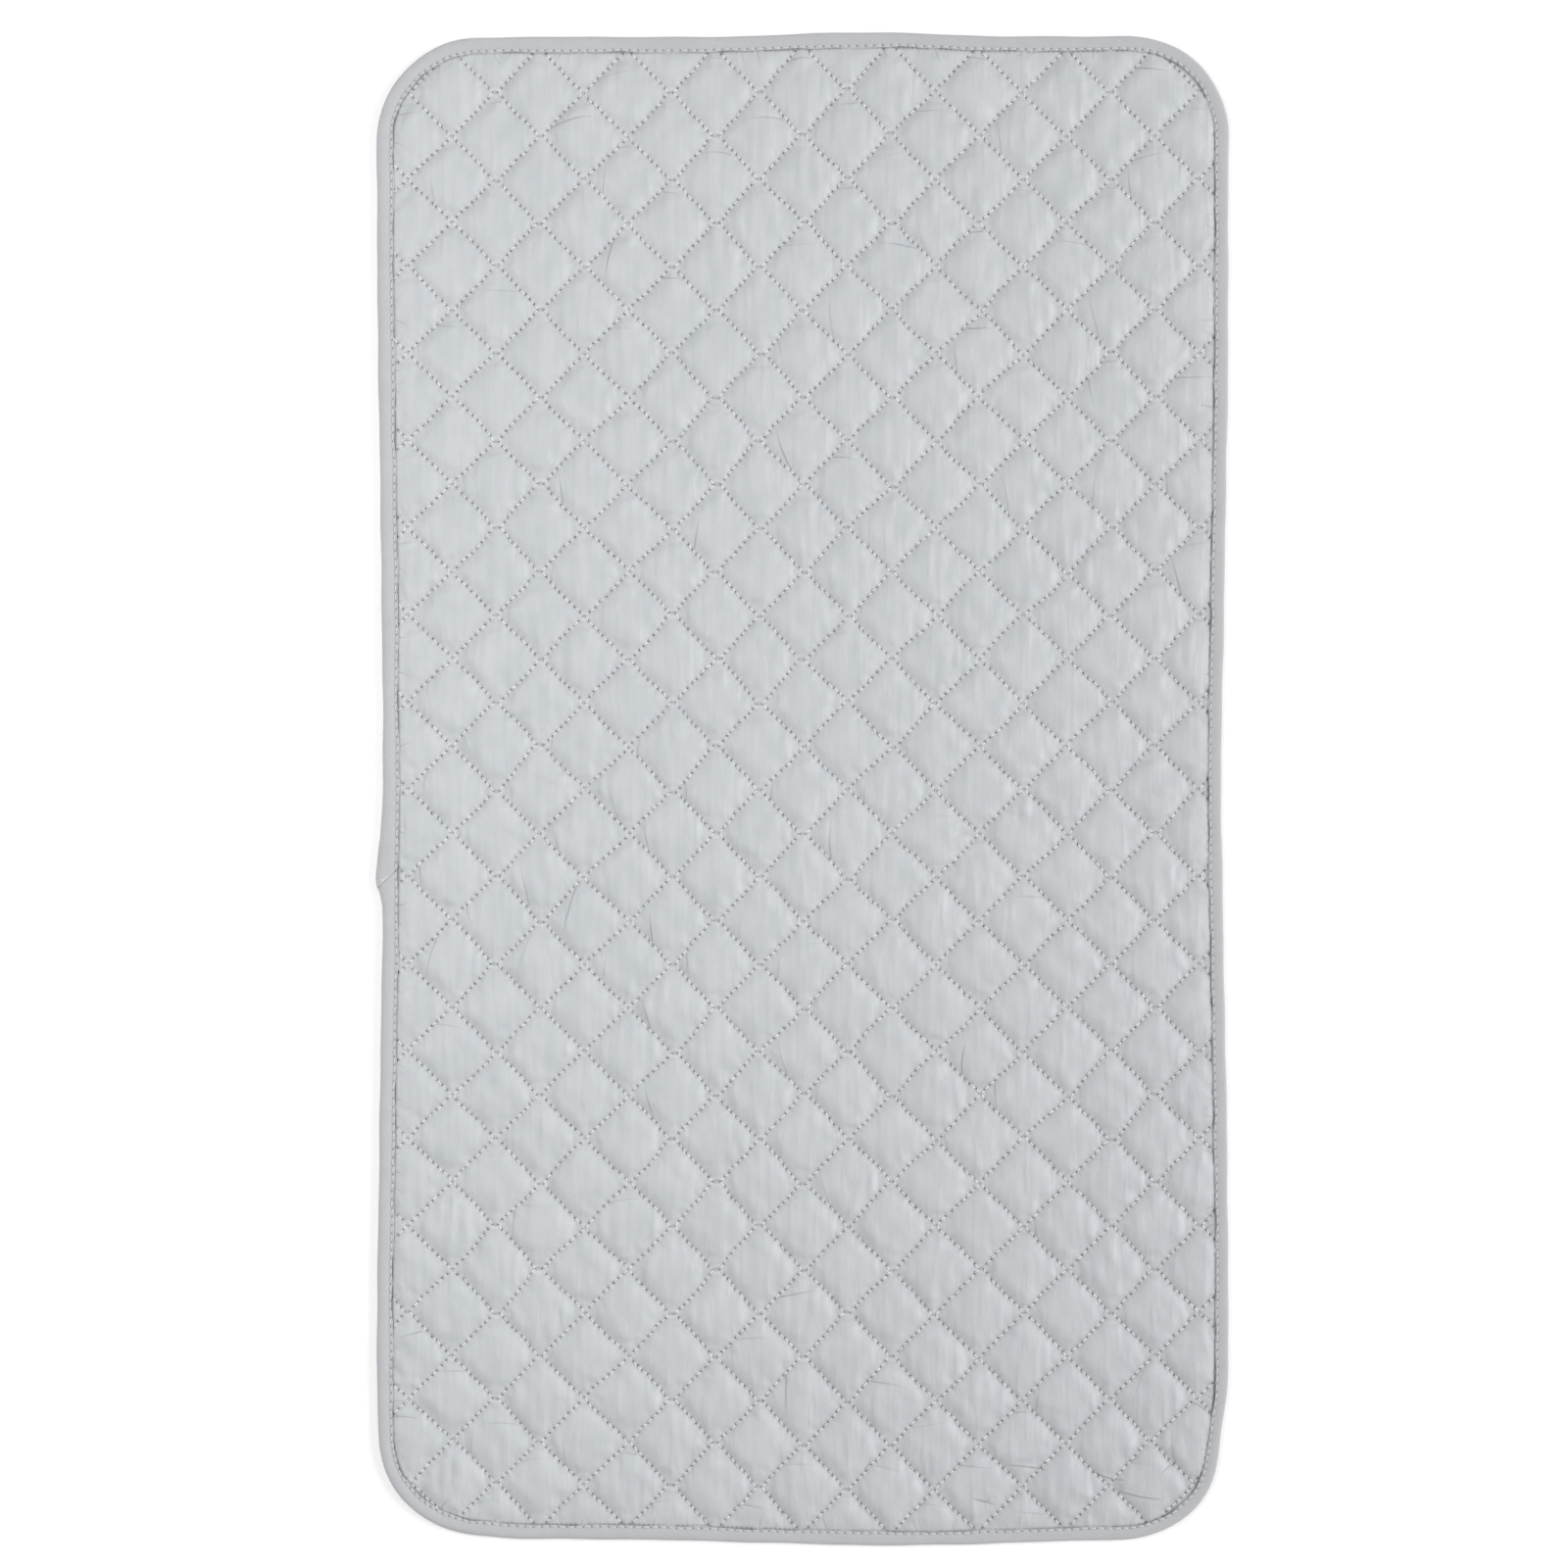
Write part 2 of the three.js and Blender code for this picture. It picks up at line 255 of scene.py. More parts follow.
def sheet_grid(edge_inset):
    """The slanted grid inside the outline drawn in by edge_inset: x is half the sum of a and b in
    gauges, y half their difference in advances. Gives flat points, the grid of their numbers, with
    -1 where there is none, and every point's two line numbers."""
    steps = np.arange(LATTICE_REACH * GRID_PER_SIDE + 1)
    line_a, line_b = np.meshgrid(steps, steps, indexing="ij")
    a, b = to_lattice(line_a), to_lattice(line_b)
    place = np.stack([(a + b) / 2 * GAUGE, (a - b) / 2 * ADVANCE], -1)
    kept = inset_at(place[..., 0], place[..., 1]) > edge_inset
    number = np.where(kept, np.cumsum(kept).reshape(kept.shape) - 1, -1)
    return place[kept], number, line_a[kept], line_b[kept]


def grid_quads(number):
    """Quads between the neighbours in a grid of point numbers, where all four of them have a point."""
    corners = np.stack([number[:-1, 1:], number[1:, 1:], number[1:, :-1], number[:-1, :-1]], -1)
    return corners[corners.min(-1) >= 0]


flat, point_number, line_a, line_b = sheet_grid(CLOTH_EDGE)
quads = grid_quads(point_number)
print("cloth grid:", len(flat), "points,", len(quads), "quads")

# %% [markdown]
# ## Gaps at the crossings
#
# Where two threads turn back to back they don't quite meet, and each crossing of the real quilting
# has a gap of its own. Moving whole columns would look like a machine, so the gap is one draw for
# its column and one for itself, and the cloth round the crossing is pushed aside with it.

# %% Opened crossings
CROSSINGS = LATTICE_REACH + 2
COLUMN_GAP = (-0.3, 3.0)
OWN_GAP = 0.9
GAP_LIMITS = (-0.7, 4.2)
TURN_HOLE = 0.65 * MM
TURN_FADE = 9 * MM
HOLE_STEP = GRID_PER_SIDE // STITCHES_PER_SIDE
column_gap = np.random.default_rng(6).uniform(*COLUMN_GAP, (CROSSINGS, 1))
own_gap = np.random.default_rng(7).normal(0, OWN_GAP, (CROSSINGS, CROSSINGS))
turn_gaps = np.clip(column_gap + own_gap, *GAP_LIMITS) * MM


def turn_gap(line_a, line_b):
    """The gap at the nearest crossing, by its column and row, and the place relative to the crossing."""
    a = np.rint(line_a / GRID_PER_SIDE).astype(int)
    b = np.rint(line_b / GRID_PER_SIDE).astype(int)
    gap = turn_gaps[(a + b) // 2, (a - b) % CROSSINGS]
    rest_a, rest_b = line_a - a * GRID_PER_SIDE, line_b - b * GRID_PER_SIDE
    return gap, (rest_a + rest_b) / GRID_PER_SIDE * GAUGE, (rest_a - rest_b) / GRID_PER_SIDE * ADVANCE


def open_turns(line_a, line_b):
    """Sideways shift of the cloth round a crossing: half the gap, to the left on its left side and to
    the right on its right side by a tanh, times a bell of the distance."""
    gap, x, y = turn_gap(line_a, line_b)
    return gap / 2 * np.tanh(x / MM) * np.exp(-(x**2 + y**2) / TURN_FADE**2)


flat[:, 0] += open_turns(line_a, line_b)
flat_x, flat_y = flat.T
flat_inset = inset_at(flat_x, flat_y)
inside_tape = flat_inset - tape_width(flat_x, flat_y)
on_line_a = line_a % GRID_PER_SIDE == 0
on_line_b = line_b % GRID_PER_SIDE == 0
is_hole = (on_line_a & (line_b % HOLE_STEP == 0)) | (on_line_b & (line_a % HOLE_STEP == 0))
is_hole &= inside_tape > 0
print(is_hole.sum(), "needle holes, gaps up to", round(float(turn_gaps.max()) / MM, 2), "mm")

# %% [markdown]
# ## Making meshes
#
# numpy arrays go into a mesh with from_pydata. Every piece is made here, so every piece gets smooth
# shading and stays at the origin with its place in its points.

# %% Mesh helpers


def make_piece(name, points, *face_arrays):
    """A smooth-shaded object at the origin from an array of points and arrays of faces, one array for
    each number of corners."""
    faces = [face for array in face_arrays for face in array.tolist()]
    mesh = bpy.data.meshes.new(name)
    mesh.from_pydata(points.tolist(), [], faces)
    mesh.polygons.foreach_set("use_smooth", np.ones(len(faces), bool))
    mesh.update()
    piece = bpy.data.objects.new(name, mesh)
    bpy.context.scene.collection.objects.link(piece)
    return piece


def add_attribute(piece, name, values):
    """Stores a vector for each point, for a material to read by its name."""
    attribute = piece.data.attributes.new(name, "FLOAT_VECTOR", "POINT")
    attribute.data.foreach_set("vector", np.ascontiguousarray(values, np.float32).ravel())


def add_twist(piece, uv):
    """Stores the UV map of a thread, a pair for each corner of each face."""
    layer = piece.data.uv_layers.new(name="twist")
    layer.data.foreach_set("uv", np.ascontiguousarray(uv, np.float32).ravel())


def place_piece(piece, finish, slot, *nodes):
    """Gives a piece its finish, sets it on the pad's one body and hides the solids it stands for."""
    piece.data.materials.append(finish.material)
    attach(piece, "root")
    if nodes:
        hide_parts(*nodes)


# %% [markdown]
# ## Blowing up the cloth
#
# A diamond of quilting is cloth that is held along its stitches and pushed out by wadding. A dome
# formula gives a tidy pillow and no puckers, so the cloth is simulated instead. The sheet starts
# flat and a little too large, its stitch lines are pinned, not quite in order, and pressure fills
# it. Next to the pins the spare cloth buckles, which makes the small creases along each line. The
# simulation runs ten times larger than life, where stiffness suits the size of the grid.

# %% Cloth simulation
SIM_SCALE = 10
SIM_FRAMES = 12
SIM_QUALITY = 4


def settle(points, faces, held, spare, pressure, stiffness, bending):
    """Points of a sheet after Blender's cloth has filled it: held points stay, spare is the share by
    which the cloth is longer than the distance between its pins."""
    sheet = make_piece("settling_sheet", points * SIM_SCALE, faces)
    group = sheet.vertex_groups.new(name="held")
    group.add(np.flatnonzero(held).tolist(), 1.0, "REPLACE")
    cloth = sheet.modifiers.new("cloth", "CLOTH")
    settings = cloth.settings
    settings.quality = SIM_QUALITY
    settings.vertex_group_mass = "held"
    settings.tension_stiffness = stiffness
    settings.compression_stiffness = stiffness
    settings.shear_stiffness = stiffness / 3
    settings.bending_stiffness = bending
    settings.use_pressure = True
    settings.uniform_pressure_force = pressure
    settings.shrink_min = -spare
    settings.effector_weights.gravity = 0
    cloth.collision_settings.use_collision = False
    cloth.point_cache.frame_start = 1
    cloth.point_cache.frame_end = SIM_FRAMES
    for step in range(1, SIM_FRAMES + 1):
        bpy.context.scene.frame_set(step)
    settled = sheet.evaluated_get(bpy.context.evaluated_depsgraph_get())
    result = np.zeros(len(points) * 3, np.float32)
    settled.data.vertices.foreach_get("co", result)
    mesh = sheet.data
    bpy.data.objects.remove(sheet)
    bpy.data.meshes.remove(mesh)
    bpy.context.scene.frame_set(1)
    return result.reshape(-1, 3).astype(float) / SIM_SCALE


# %% [markdown]
# ## The face under its stitches
#
# On the real pad each needle hole lies deep, the thread between two holes presses less, and the tape
# presses the edge. These are the heights at which the cloth is held. Slight noise everywhere else
# decides which way it buckles. Wadding resists more the further it swells, so the settled height is
# eased to a limit instead of being cut off.

# %% Face cloth settled over the wadding
START_NOISE = 0.05 * MM
HOLE_DEPTH = 0.5 * MM
LINE_DEPTH = 0.22 * MM
TAPE_PRESS = 0.2 * MM
TAPE_COVER = 0.3 * MM
STITCH_JITTER = 0.27 * MM
WADDING_LIMIT = 2.6 * MM
LIMIT_EASE = 0.88
rng = np.random.default_rng(8)
is_line = (on_line_a | on_line_b) & (inside_tape > 0)
is_crossing = on_line_a & on_line_b
between = is_line & ~is_hole
under_tape = inside_tape < TAPE_COVER
held = is_line | under_tape
rise = np.where(held, 0, np.abs(rng.normal(0, START_NOISE, len(flat))))
rise[is_hole & ~is_crossing] = -HOLE_DEPTH
rise[is_line & is_crossing] = -0.5 * LINE_DEPTH
rise[between] = rng.normal(-LINE_DEPTH, 0.5 * LINE_DEPTH, between.sum())
rise[under_tape] = -TAPE_PRESS
start = np.column_stack([flat, rise])
start[is_line, :2] += rng.normal(0, STITCH_JITTER, (is_line.sum(), 2))
face_shape = settle(start, quads, held, spare=0.03, pressure=5, stiffness=15, bending=0.05)
swollen = face_shape[:, 2]
eased = WADDING_LIMIT * np.tanh(swollen / (LIMIT_EASE * WADDING_LIMIT))
face_shape[:, 2] = np.where(swollen > 0, eased, swollen)
print("face rises", round(float(face_shape[:, 2].max()) / MM, 2), "mm")

# %% [markdown]
# ## Ripples and wrinkles
#
# Coated cotton is never quite flat. It keeps soft ripples along the warp, which the light shows as
# pale and dark bands, and short soft wrinkles along an old fold across the middle. Ripples are a sum
# of many waves, and a wrinkle is a bent ridge that fades out in both directions.

# %% Ripples and wrinkles
RIPPLE = 0.17 * MM
SOFT_SHARE = 0.7
PUFF_FROM = 0.3 * MM
PUFF_OVER = 1.0 * MM
WIDE_SPAN = (60 * MM, 160 * MM)


def wrinkles(seed, count, x_range, y_range, turn, length, width, height):
    """Sum of short ridges and valleys: each is a bell across its bent middle line times a bell along
    it, with its place, direction and sizes drawn from the given ranges."""
    draw = np.random.default_rng(seed)
    total = np.zeros(len(flat))
    for _ in range(count):
        x = flat_x - draw.uniform(*x_range) * WIDTH
        y = flat_y - draw.uniform(*y_range) * LENGTH
        angle = draw.normal(*turn)
        long = draw.uniform(*length) * MM
        wide = draw.uniform(*width) * MM
        along = (x * np.cos(angle) + y * np.sin(angle)) / long
        across = (y * np.cos(angle) - x * np.sin(angle)) / wide + draw.uniform(-1, 1) * along**2
        total += draw.normal(0, height) * MM * np.exp(-(across**2) - along**2)
    return total


puffed = np.clip((face_shape[:, 2] - PUFF_FROM) / PUFF_OVER, 0, 1)
warp_ripple = ripples(flat_x, flat_y, 40, across=(4.5 * MM, 11 * MM), along=(30 * MM, 110 * MM), seed=21)
soft_ripple = ripples(flat_x, flat_y, 24, across=(12 * MM, 30 * MM), along=(10 * MM, 24 * MM), seed=22)
patches = 0.7 + 0.4 * ripples(flat_x, flat_y, 12, across=WIDE_SPAN, along=WIDE_SPAN, seed=23)
face_shape[:, 2] += puffed * RIPPLE * (patches * warp_ripple + SOFT_SHARE * soft_ripple)
middle_fold = dict(x_range=(-0.46, 0.46), y_range=(-0.045, 0.02), turn=(0, 0.25))
all_over = dict(x_range=(-0.48, 0.48), y_range=(-0.49, 0.49), turn=(1.5, 0.35))
lower_right = dict(x_range=(0.25, 0.46), y_range=(-0.47, -0.40), turn=(-0.25, 0.35))
fold_wrinkles = wrinkles(41, 60, **middle_fold, length=(5, 12), width=(1.6, 2.8), height=0.75)
loose_wrinkles = wrinkles(42, 200, **all_over, length=(6, 16), width=(1.8, 3.2), height=0.36)
corner_wrinkles = wrinkles(43, 24, **lower_right, length=(7, 15), width=(1.8, 3.0), height=0.5)
face_shape[:, 2] += puffed * (fold_wrinkles + loose_wrinkles + corner_wrinkles)
print("ripples up to", round(float(np.abs(patches * warp_ripple).max() * RIPPLE) / MM, 2), "mm")

# %% [markdown]
# ## Creases across the diamonds
#
# Where the quilting gathers the cloth, a sharp crease runs across the corner of a diamond from one
# line of stitches to the next. The mesh is too coarse for a sharp fold, so each point stores its
# signed distance from the fold: the finish then draws a fold as narrow as it likes, by a bump and a
# thin line of painted shade.

# %% Corner creases
FOLD_CLEAR = 2 * MM
ARC_FIRST = -0.8
ARC_RANGE = 0.42
ARC_HOLLOW = 0.35
ARC_SLANT = 0.5
ARC_FADE = 0.05
lattice_a, lattice_b = to_lattice(line_a), to_lattice(line_b)


def near_fold(distance):
    """1 close to a fold and 0 from 4 mm on, so that the folds of one map never meet."""
    return np.clip(2 - np.abs(distance) / FOLD_CLEAR, 0, 1)


def corner_creases(seed, turned, chance):
    """An arc across one corner of each diamond that draws one, the left corner or, turned, the top
    one: signed distance from the arc, and a strength that fades at its ends and along it."""
    draw = np.random.default_rng(seed)
    has, place, hollow, slant, phase, depth = draw.random((6, LATTICE_REACH + 1, LATTICE_REACH + 1))
    a = (lattice_a + LATTICE_REACH) / 2
    b = (lattice_b + LATTICE_REACH) / 2
    cell = (np.floor(a).astype(int), np.floor(b).astype(int))
    u, v = a % 1 - 0.5, b % 1 - 0.5
    to_corner, aside = (v - u, u + v) if turned else (u + v, u - v)
    bend = (ARC_HOLLOW * hollow[cell] - 0.1) * aside**2 + ARC_SLANT * (slant[cell] - 0.55) * aside
    arc = ARC_FIRST + ARC_RANGE * place[cell] + bend
    distance = (to_corner - arc) * GAUGE
    fade = np.clip((0.5 - np.maximum(np.abs(u), np.abs(v))) / ARC_FADE, 0, 1)
    uneven = np.clip(0.7 + np.where(phase[cell] < 0.3, 2, -2) * aside, 0, 1)
    strength = (0.25 + 0.75 * depth[cell] ** 2) * fade * uneven * near_fold(distance)
    return distance, np.where(has[cell] < chance, strength, 0)


across, along = flat_x / WIDTH, flat_y / LENGTH
left_chance = 0.12 + 0.75 * bell(across + 0.2, 0.25) * bell(along + 0.03, 0.13)
top_chance = 0.08 + 0.5 * bell(along - 0.48, 0.16) + 0.3 * bell(along + 0.46, 0.08)
crease_maps = {
    "left_crease": corner_creases(31, False, left_chance),
    "top_crease": corner_creases(32, True, top_chance),
}
print("chance of a crease up to", round(float(left_chance.max()), 2))

# %% [markdown]
# ## Puckers and folds at the edge
#
# The tape draws short puckers in from the edge, and the lower right corner of the pad has a few
# folds that catch the eye. Puckers are many and alike, so they are drawn at random along the edge.
# The few folds are placed one by one.

# %% Edge puckers and corner folds
PUCKER_SPACING = 10 * MM
PUCKER_CHANCE = 0.62
CREASE_DEPTH = 0.14 * MM
CREASE_WIDTH = 1.6 * MM
CORNER_FOLDS = [
    (116, -380.5, 139, -384.5, 0.8),
    (164, -385, 184, -391, -1.2),
    (178, -396.5, 204, -402, -1.0),
    (221, -347, 230, -353, 0.3),
    (204, -388, 214, -381, 0.5),
    (96, -399, 108, -403, 0.4),
]


def edge_puckers(seed, spacing):
    """Short folds that run in from the tape: distance along the edge from the nearest fold, with a
    strength that fades over a random length inwards."""
    draw = np.random.default_rng(seed)
    sideways = WIDTH / 2 - np.abs(flat_x) < LENGTH / 2 - np.abs(flat_y)
    along = np.where(sideways, flat_y, flat_x)
    side = np.where(sideways, np.where(flat_x > 0, 0, 1), np.where(flat_y > 0, 2, 3))
    count = int(LENGTH / spacing) + 3
    slot = along / spacing + count / 2
    place, reach, depth, lean = draw.random((4, 4, count + 2))
    pick = (side, np.floor(slot).astype(int))
    inner = inside_tape / MM
    curl = (lean[pick] - 0.5) * (0.9 + 0.08 * inner) * inside_tape
    distance = (slot % 1 - 0.4 - 0.2 * place[pick]) * spacing + curl
    fade = np.clip(1 - inner / (3 + 9 * reach[pick] ** 2), 0, 1) * np.clip(inner / 0.8, 0, 1)
    strength = fade * (0.35 + depth[pick]) * near_fold(distance)
    return distance, np.where(depth[pick] < PUCKER_CHANCE, strength, 0)


def drawn_folds(folds):
    """Folds listed from (x, y) to (x, y) in millimetres with a sag: signed distance from the
    nearest one, and a strength that fades at both of its ends."""
    nearest = np.full(len(flat), np.inf)
    strength = np.zeros(len(flat))
    for x0, y0, x1, y1, sag in folds:
        length = np.hypot(x1 - x0, y1 - y0) * MM
        away = flat - np.array([x0, y0]) * MM
        share = (away @ [x1 - x0, y1 - y0]) * MM / length**2
        distance = (away @ [y0 - y1, x1 - x0]) * MM / length - sag * MM * 4 * share * (1 - share)
        inside = np.clip(4 * share * (1 - share), 0, 1) ** 0.5 * near_fold(distance)
        closer = (inside > 0) & (np.abs(distance) < np.abs(nearest))
        nearest = np.where(closer, distance, nearest)
        strength = np.where(closer, inside, strength)
    return np.where(strength > 0, nearest, 0), strength


crease_maps["edge_pucker"] = edge_puckers(33, PUCKER_SPACING)
crease_maps["corner_fold"] = drawn_folds(CORNER_FOLDS)
for name, (distance, strength) in crease_maps.items():
    face_shape[:, 2] -= puffed * CREASE_DEPTH * strength * bell(distance, CREASE_WIDTH)
    print(name, int((strength > 0.2).sum()), "points of", len(flat))

# %% [markdown]
# ## Finishes
#
# A finish is a network of shader nodes. Written out by hand a network is long, so a shader value is
# wrapped in a small class that knows plus, minus, times and so on: each sum adds its Math node. One
# method makes every other kind of node.

# %% Shader values and finishes


class Amount:
    """A shader value that takes part in Python sums, each of which adds one Math node."""

    def __init__(self, finish, socket):
        self.finish = finish
        self.socket = socket

    def math(self, operation, *others):
        """One Math node of this value and the others."""
        return self.finish.node("Math", {"operation": operation}, dict(enumerate((self, *others))))

    def __add__(self, other):
        return self.math("ADD", other)

    def __sub__(self, other):
        return self.math("SUBTRACT", other)

    def __rsub__(self, other):
        return self.math("MULTIPLY_ADD", -1, other)

    def __mul__(self, other):
        return self.math("MULTIPLY", other)

    def __pow__(self, other):
        return self.math("POWER", other)

    __radd__ = __add__
    __rmul__ = __mul__


class Finish:
    """A material under construction: its constants are set on one shader, the rest is fed in."""

    def __init__(self, name, constants):
        self.material = bpy.data.materials.new(name)
        self.material.use_nodes = True
        self.tree = self.material.node_tree
        self.shader = self.tree.nodes["Principled BSDF"]
        for socket, value in constants.items():
            self.shader.inputs[socket].default_value = value

    def node(self, kind, settings, sockets, output=0):
        """Any node: its settings first, then a value or a link for each of the named sockets."""
        made = self.tree.nodes.new("ShaderNode" + kind)
        for name, value in settings.items():
            setattr(made, name, value)
        for name, value in sockets.items():
            self.put(made.inputs[name], value)
        return Amount(self, made.outputs[output])

    def put(self, socket, value):
        """Links a shader value to a socket, or sets a plain value on it."""
        if isinstance(value, Amount):
            self.tree.links.new(value.socket, socket)
        else:
            socket.default_value = value

    def feed(self, **sockets):
        """Links or sets inputs of the shader, with _ for the space in their names."""
        for name, value in sockets.items():
            self.put(self.shader.inputs[name.replace("_", " ")], value)

    def here(self):
        """The place of the point in the object, in metres."""
        return self.node("TexCoord", {}, {}, "Object")

    def parts(self, vector):
        """The three numbers of a vector."""
        split = self.node("SeparateXYZ", {}, {0: vector}).socket.node
        return [Amount(self, out) for out in split.outputs]

    def stored(self, name):
        """The three numbers that a piece stores for each point under this name."""
        return self.parts(self.node("Attribute", {"attribute_name": name}, {}, "Vector"))

    def noise(self, vector, size, detail=2.0):
        """Smooth noise about 0.5, with features of the given size in each direction, in millimetres."""
        scale = [1 / (s * MM) for s in size]
        scaled = self.node("Mapping", {}, {"Vector": vector, "Scale": scale})
        return self.node("TexNoise", {}, {"Vector": scaled, "Scale": 1.0, "Detail": detail})

    def blend(self, share, first, second):
        """A colour that goes from the first to the second as share goes from 0 to 1."""
        return self.node("Mix", {"data_type": "RGBA"}, {0: share, 6: first, 7: second}, 2)

    def bump(self, height, depth):
        """Normals tilted by a height in units of depth, in metres."""
        return self.node("Bump", {}, {"Strength": 1.0, "Distance": depth, "Height": height})


# %% [markdown]
# ## Marks of the needles
#
# A needle leaves a small hole, dark with shade, the thread draws a shallow channel from hole to hole,
# and the cloth swells between them. Holes modelled as geometry would need a far finer mesh. So the
# marks are worked out from the lattice attribute, and each one is round and sharp however coarse the
# mesh is: the nearest odd number gives the line, the nearest ninth the hole. The finishes paint shade
# into the holes and the channels, and a highlight onto the swellings.

# %% Masks of the stitching
HALF_SIDE = np.hypot(GAUGE, ADVANCE) / 2 / MM
HOLE_SPACING = 0.8
SWELL_SIZE = 1.8
TURN_ROUND = 7.0
TURN_CLEAR = 0.6
CREASE_LINE = 0.45
CREASE_FOLD = CREASE_LINE / np.sqrt(0.2)


def bell_mask(square, size):
    """A bell in the shader: exp of minus a squared distance over the square of the size."""
    return (square * (-1 / size**2)).math("EXPONENT")


def stitch_lines(finish):
    """For each family of lines, in millimetres: squared distance to the nearest odd lattice line, the
    distance along it to the nearest hole, and half the signed way to the line."""
    a, b, _ = finish.stored("lattice")
    lines = []
    for across, along in ((a, b), (b, a)):
        off_line = (across - 1).math("PINGPONG", 1.0) * HALF_SIDE
        off_hole = (along - 1).math("PINGPONG", 1 / STITCHES_PER_SIDE) * (HOLE_SPACING * HALF_SIDE)
        half_way = (across - 1).math("WRAP", 1.0, -1.0) * (HALF_SIDE / 2)
        lines.append((off_line * off_line, off_hole, half_way))
    return lines


def needle_holes(lines, size):
    """Mask of the needle holes, a bell round each. At a crossing each of the two turns has a hole of
    its own, to the left and to the right, in place of the one that the lattice gives."""
    hole = 0
    crossing = 0
    sideways = 0
    for square, off_hole, half_way in lines:
        hole = hole + bell_mask(square + off_hole * off_hole, size)
        crossing = crossing + square
        sideways = sideways + half_way
    off_turn = (sideways.math("ABSOLUTE") - TURN_HOLE / MM) ** 2.0
    upright = crossing - sideways * sideways * 2.0
    turn_hole = bell_mask(off_turn * TURN_ROUND + upright, size)
    hole = hole * (1 - (crossing * -TURN_CLEAR).math("EXPONENT")) + turn_hole
    return hole.math("MINIMUM", 1.0)


def stitch_channel(lines, size):
    """The channel along each line, a bell across it, and the swelling on both sides of each stitch, a
    bell across the line times the distance from the nearest hole."""
    channel = 0
    swell = 0
    for square, off_hole, _ in lines:
        channel = channel + bell_mask(square, size)
        swell = swell + bell_mask(square, SWELL_SIZE) * off_hole
    return channel.math("MINIMUM", 1.0), swell


def crease_mark(finish, name):
    """A thin line of painted shade along a crease, a bell of the stored distance times the stored
    strength, and the height of the fold: a wider bell times the distance, low on one side and high on
    the other."""
    distance, strength, _ = finish.stored(name)
    square = distance * distance
    return bell_mask(square, CREASE_LINE) * strength, bell_mask(square, CREASE_FOLD) * strength * distance


print("half a diamond's side:", round(float(HALF_SIDE), 2), "mm")

# %% [markdown]
# ## Silver-coated cotton
#
# The face is cotton with an aluminium coating: paler and more satin than plain cloth, but far from
# a mirror. The coating takes up slightly differently along the warp, which shows as faint streaks
# down the cloth. The colour is also a little darker towards the lower right. A metal shader would be
# too bright and too dark by turns, so this is a pale cloth with a trace of metal.

# %% Silver cloth finish
WEAVE = 0.45 * MM
HOLE_SIZE = 0.58
CHANNEL_SIZE = 2.0
LIP_FADE = 1.2
DULL_SILVER = (0.515, 0.542, 0.563, 1)
BRIGHT_SILVER = (0.645, 0.668, 0.688, 1)
LOWER_RIGHT_SILVER = (0.51, 0.50, 0.53, 1)
CHANNEL_SHADE = (0.30, 0.31, 0.32, 1)
PUCKER_HIGHLIGHT = (0.90, 0.92, 0.935, 1)
CREASE_SHADE = (0.16, 0.165, 0.17, 1)
LIP_SHADE = (0.09, 0.09, 0.095, 1)
HOLE_SHADE = (0.08, 0.08, 0.085, 1)


def weave_height(x, y, pitch):
    """Plain weave: the product of two sines, one along each thread direction."""
    turn = 2 * np.pi / pitch
    return (x * turn).math("SINE") * (y * turn).math("SINE")


silver = Finish("silver_cloth", {"Metallic": 0.1, "Specular IOR Level": 0.4})
vector = silver.here()
x, y, _ = silver.parts(vector)
streak = silver.noise(vector, (4.2, 45, 45), 2.0)
mottle = silver.noise(vector, (14, 18, 18), 3.0)
grain = silver.noise(vector, (0.8, 0.8, 0.8), 1.0)
crinkle = silver.noise(vector, (2.2, 3.4, 3.4), 3.0)
lump = silver.noise(vector, (5, 5, 5), 2.0)
satin = (silver.noise(vector, (5.0, 28, 28), 1.0) - 0.52).math("MAXIMUM", 0.0)
lines = stitch_lines(silver)
hole = needle_holes(lines, HOLE_SIZE)
channel, swell = stitch_channel(lines, CHANNEL_SIZE)
# Painted shade in the gap under the tape's lip, from the distance inside the tape's edge.
gap = silver.stored("lattice")[2]
under_lip = (gap * gap * -LIP_FADE).math("EXPONENT")
crease = 0
fold = 0
for name in crease_maps:
    line, step = crease_mark(silver, name)
    crease = crease + line
    fold = fold + step
shade = (streak - 0.5) * 0.85 + (mottle - 0.5) * 1.0 + 0.5
toward_lower_right = (x * 2.1 - y * 1.2).math("MAXIMUM", 0.0)
# Painted shade along the stitch channels, stronger towards the lower right and less on the swellings.
channel_shading = (channel * (toward_lower_right * 0.22 + 0.32) - swell * 0.1).math("MAXIMUM", 0.0)
coat = silver.blend(shade, DULL_SILVER, BRIGHT_SILVER)
# The cloth's colour turns a little darker and purpler towards the lower right.
coat = silver.blend(toward_lower_right * toward_lower_right * 0.3, coat, LOWER_RIGHT_SILVER)
coat = silver.blend(channel_shading, coat, CHANNEL_SHADE)
# Painted highlight on the swellings beside each stitch.
coat = silver.blend(swell * lump * 0.36, coat, PUCKER_HIGHLIGHT)
# Painted shade along the creases, folds and puckers.
coat = silver.blend(crease * 0.5, coat, CREASE_SHADE)
coat = silver.blend(under_lip * 0.68, coat, LIP_SHADE)
# Painted shade in the needle holes.
coat = silver.blend(hole * (lump * 1.2 + 0.2), coat, HOLE_SHADE)
weave = weave_height(x, y, WEAVE)
height = weave * 0.25 + grain * 0.6 + crinkle * 5 + fold * 4.5 + satin * mottle * 70 + swell * lump * 6
silver.feed(Base_Color=coat, Roughness=0.54 + mottle * 0.15, Normal=silver.bump(height, 0.03 * MM))
print("silver cloth:", len(silver.tree.nodes), "nodes")
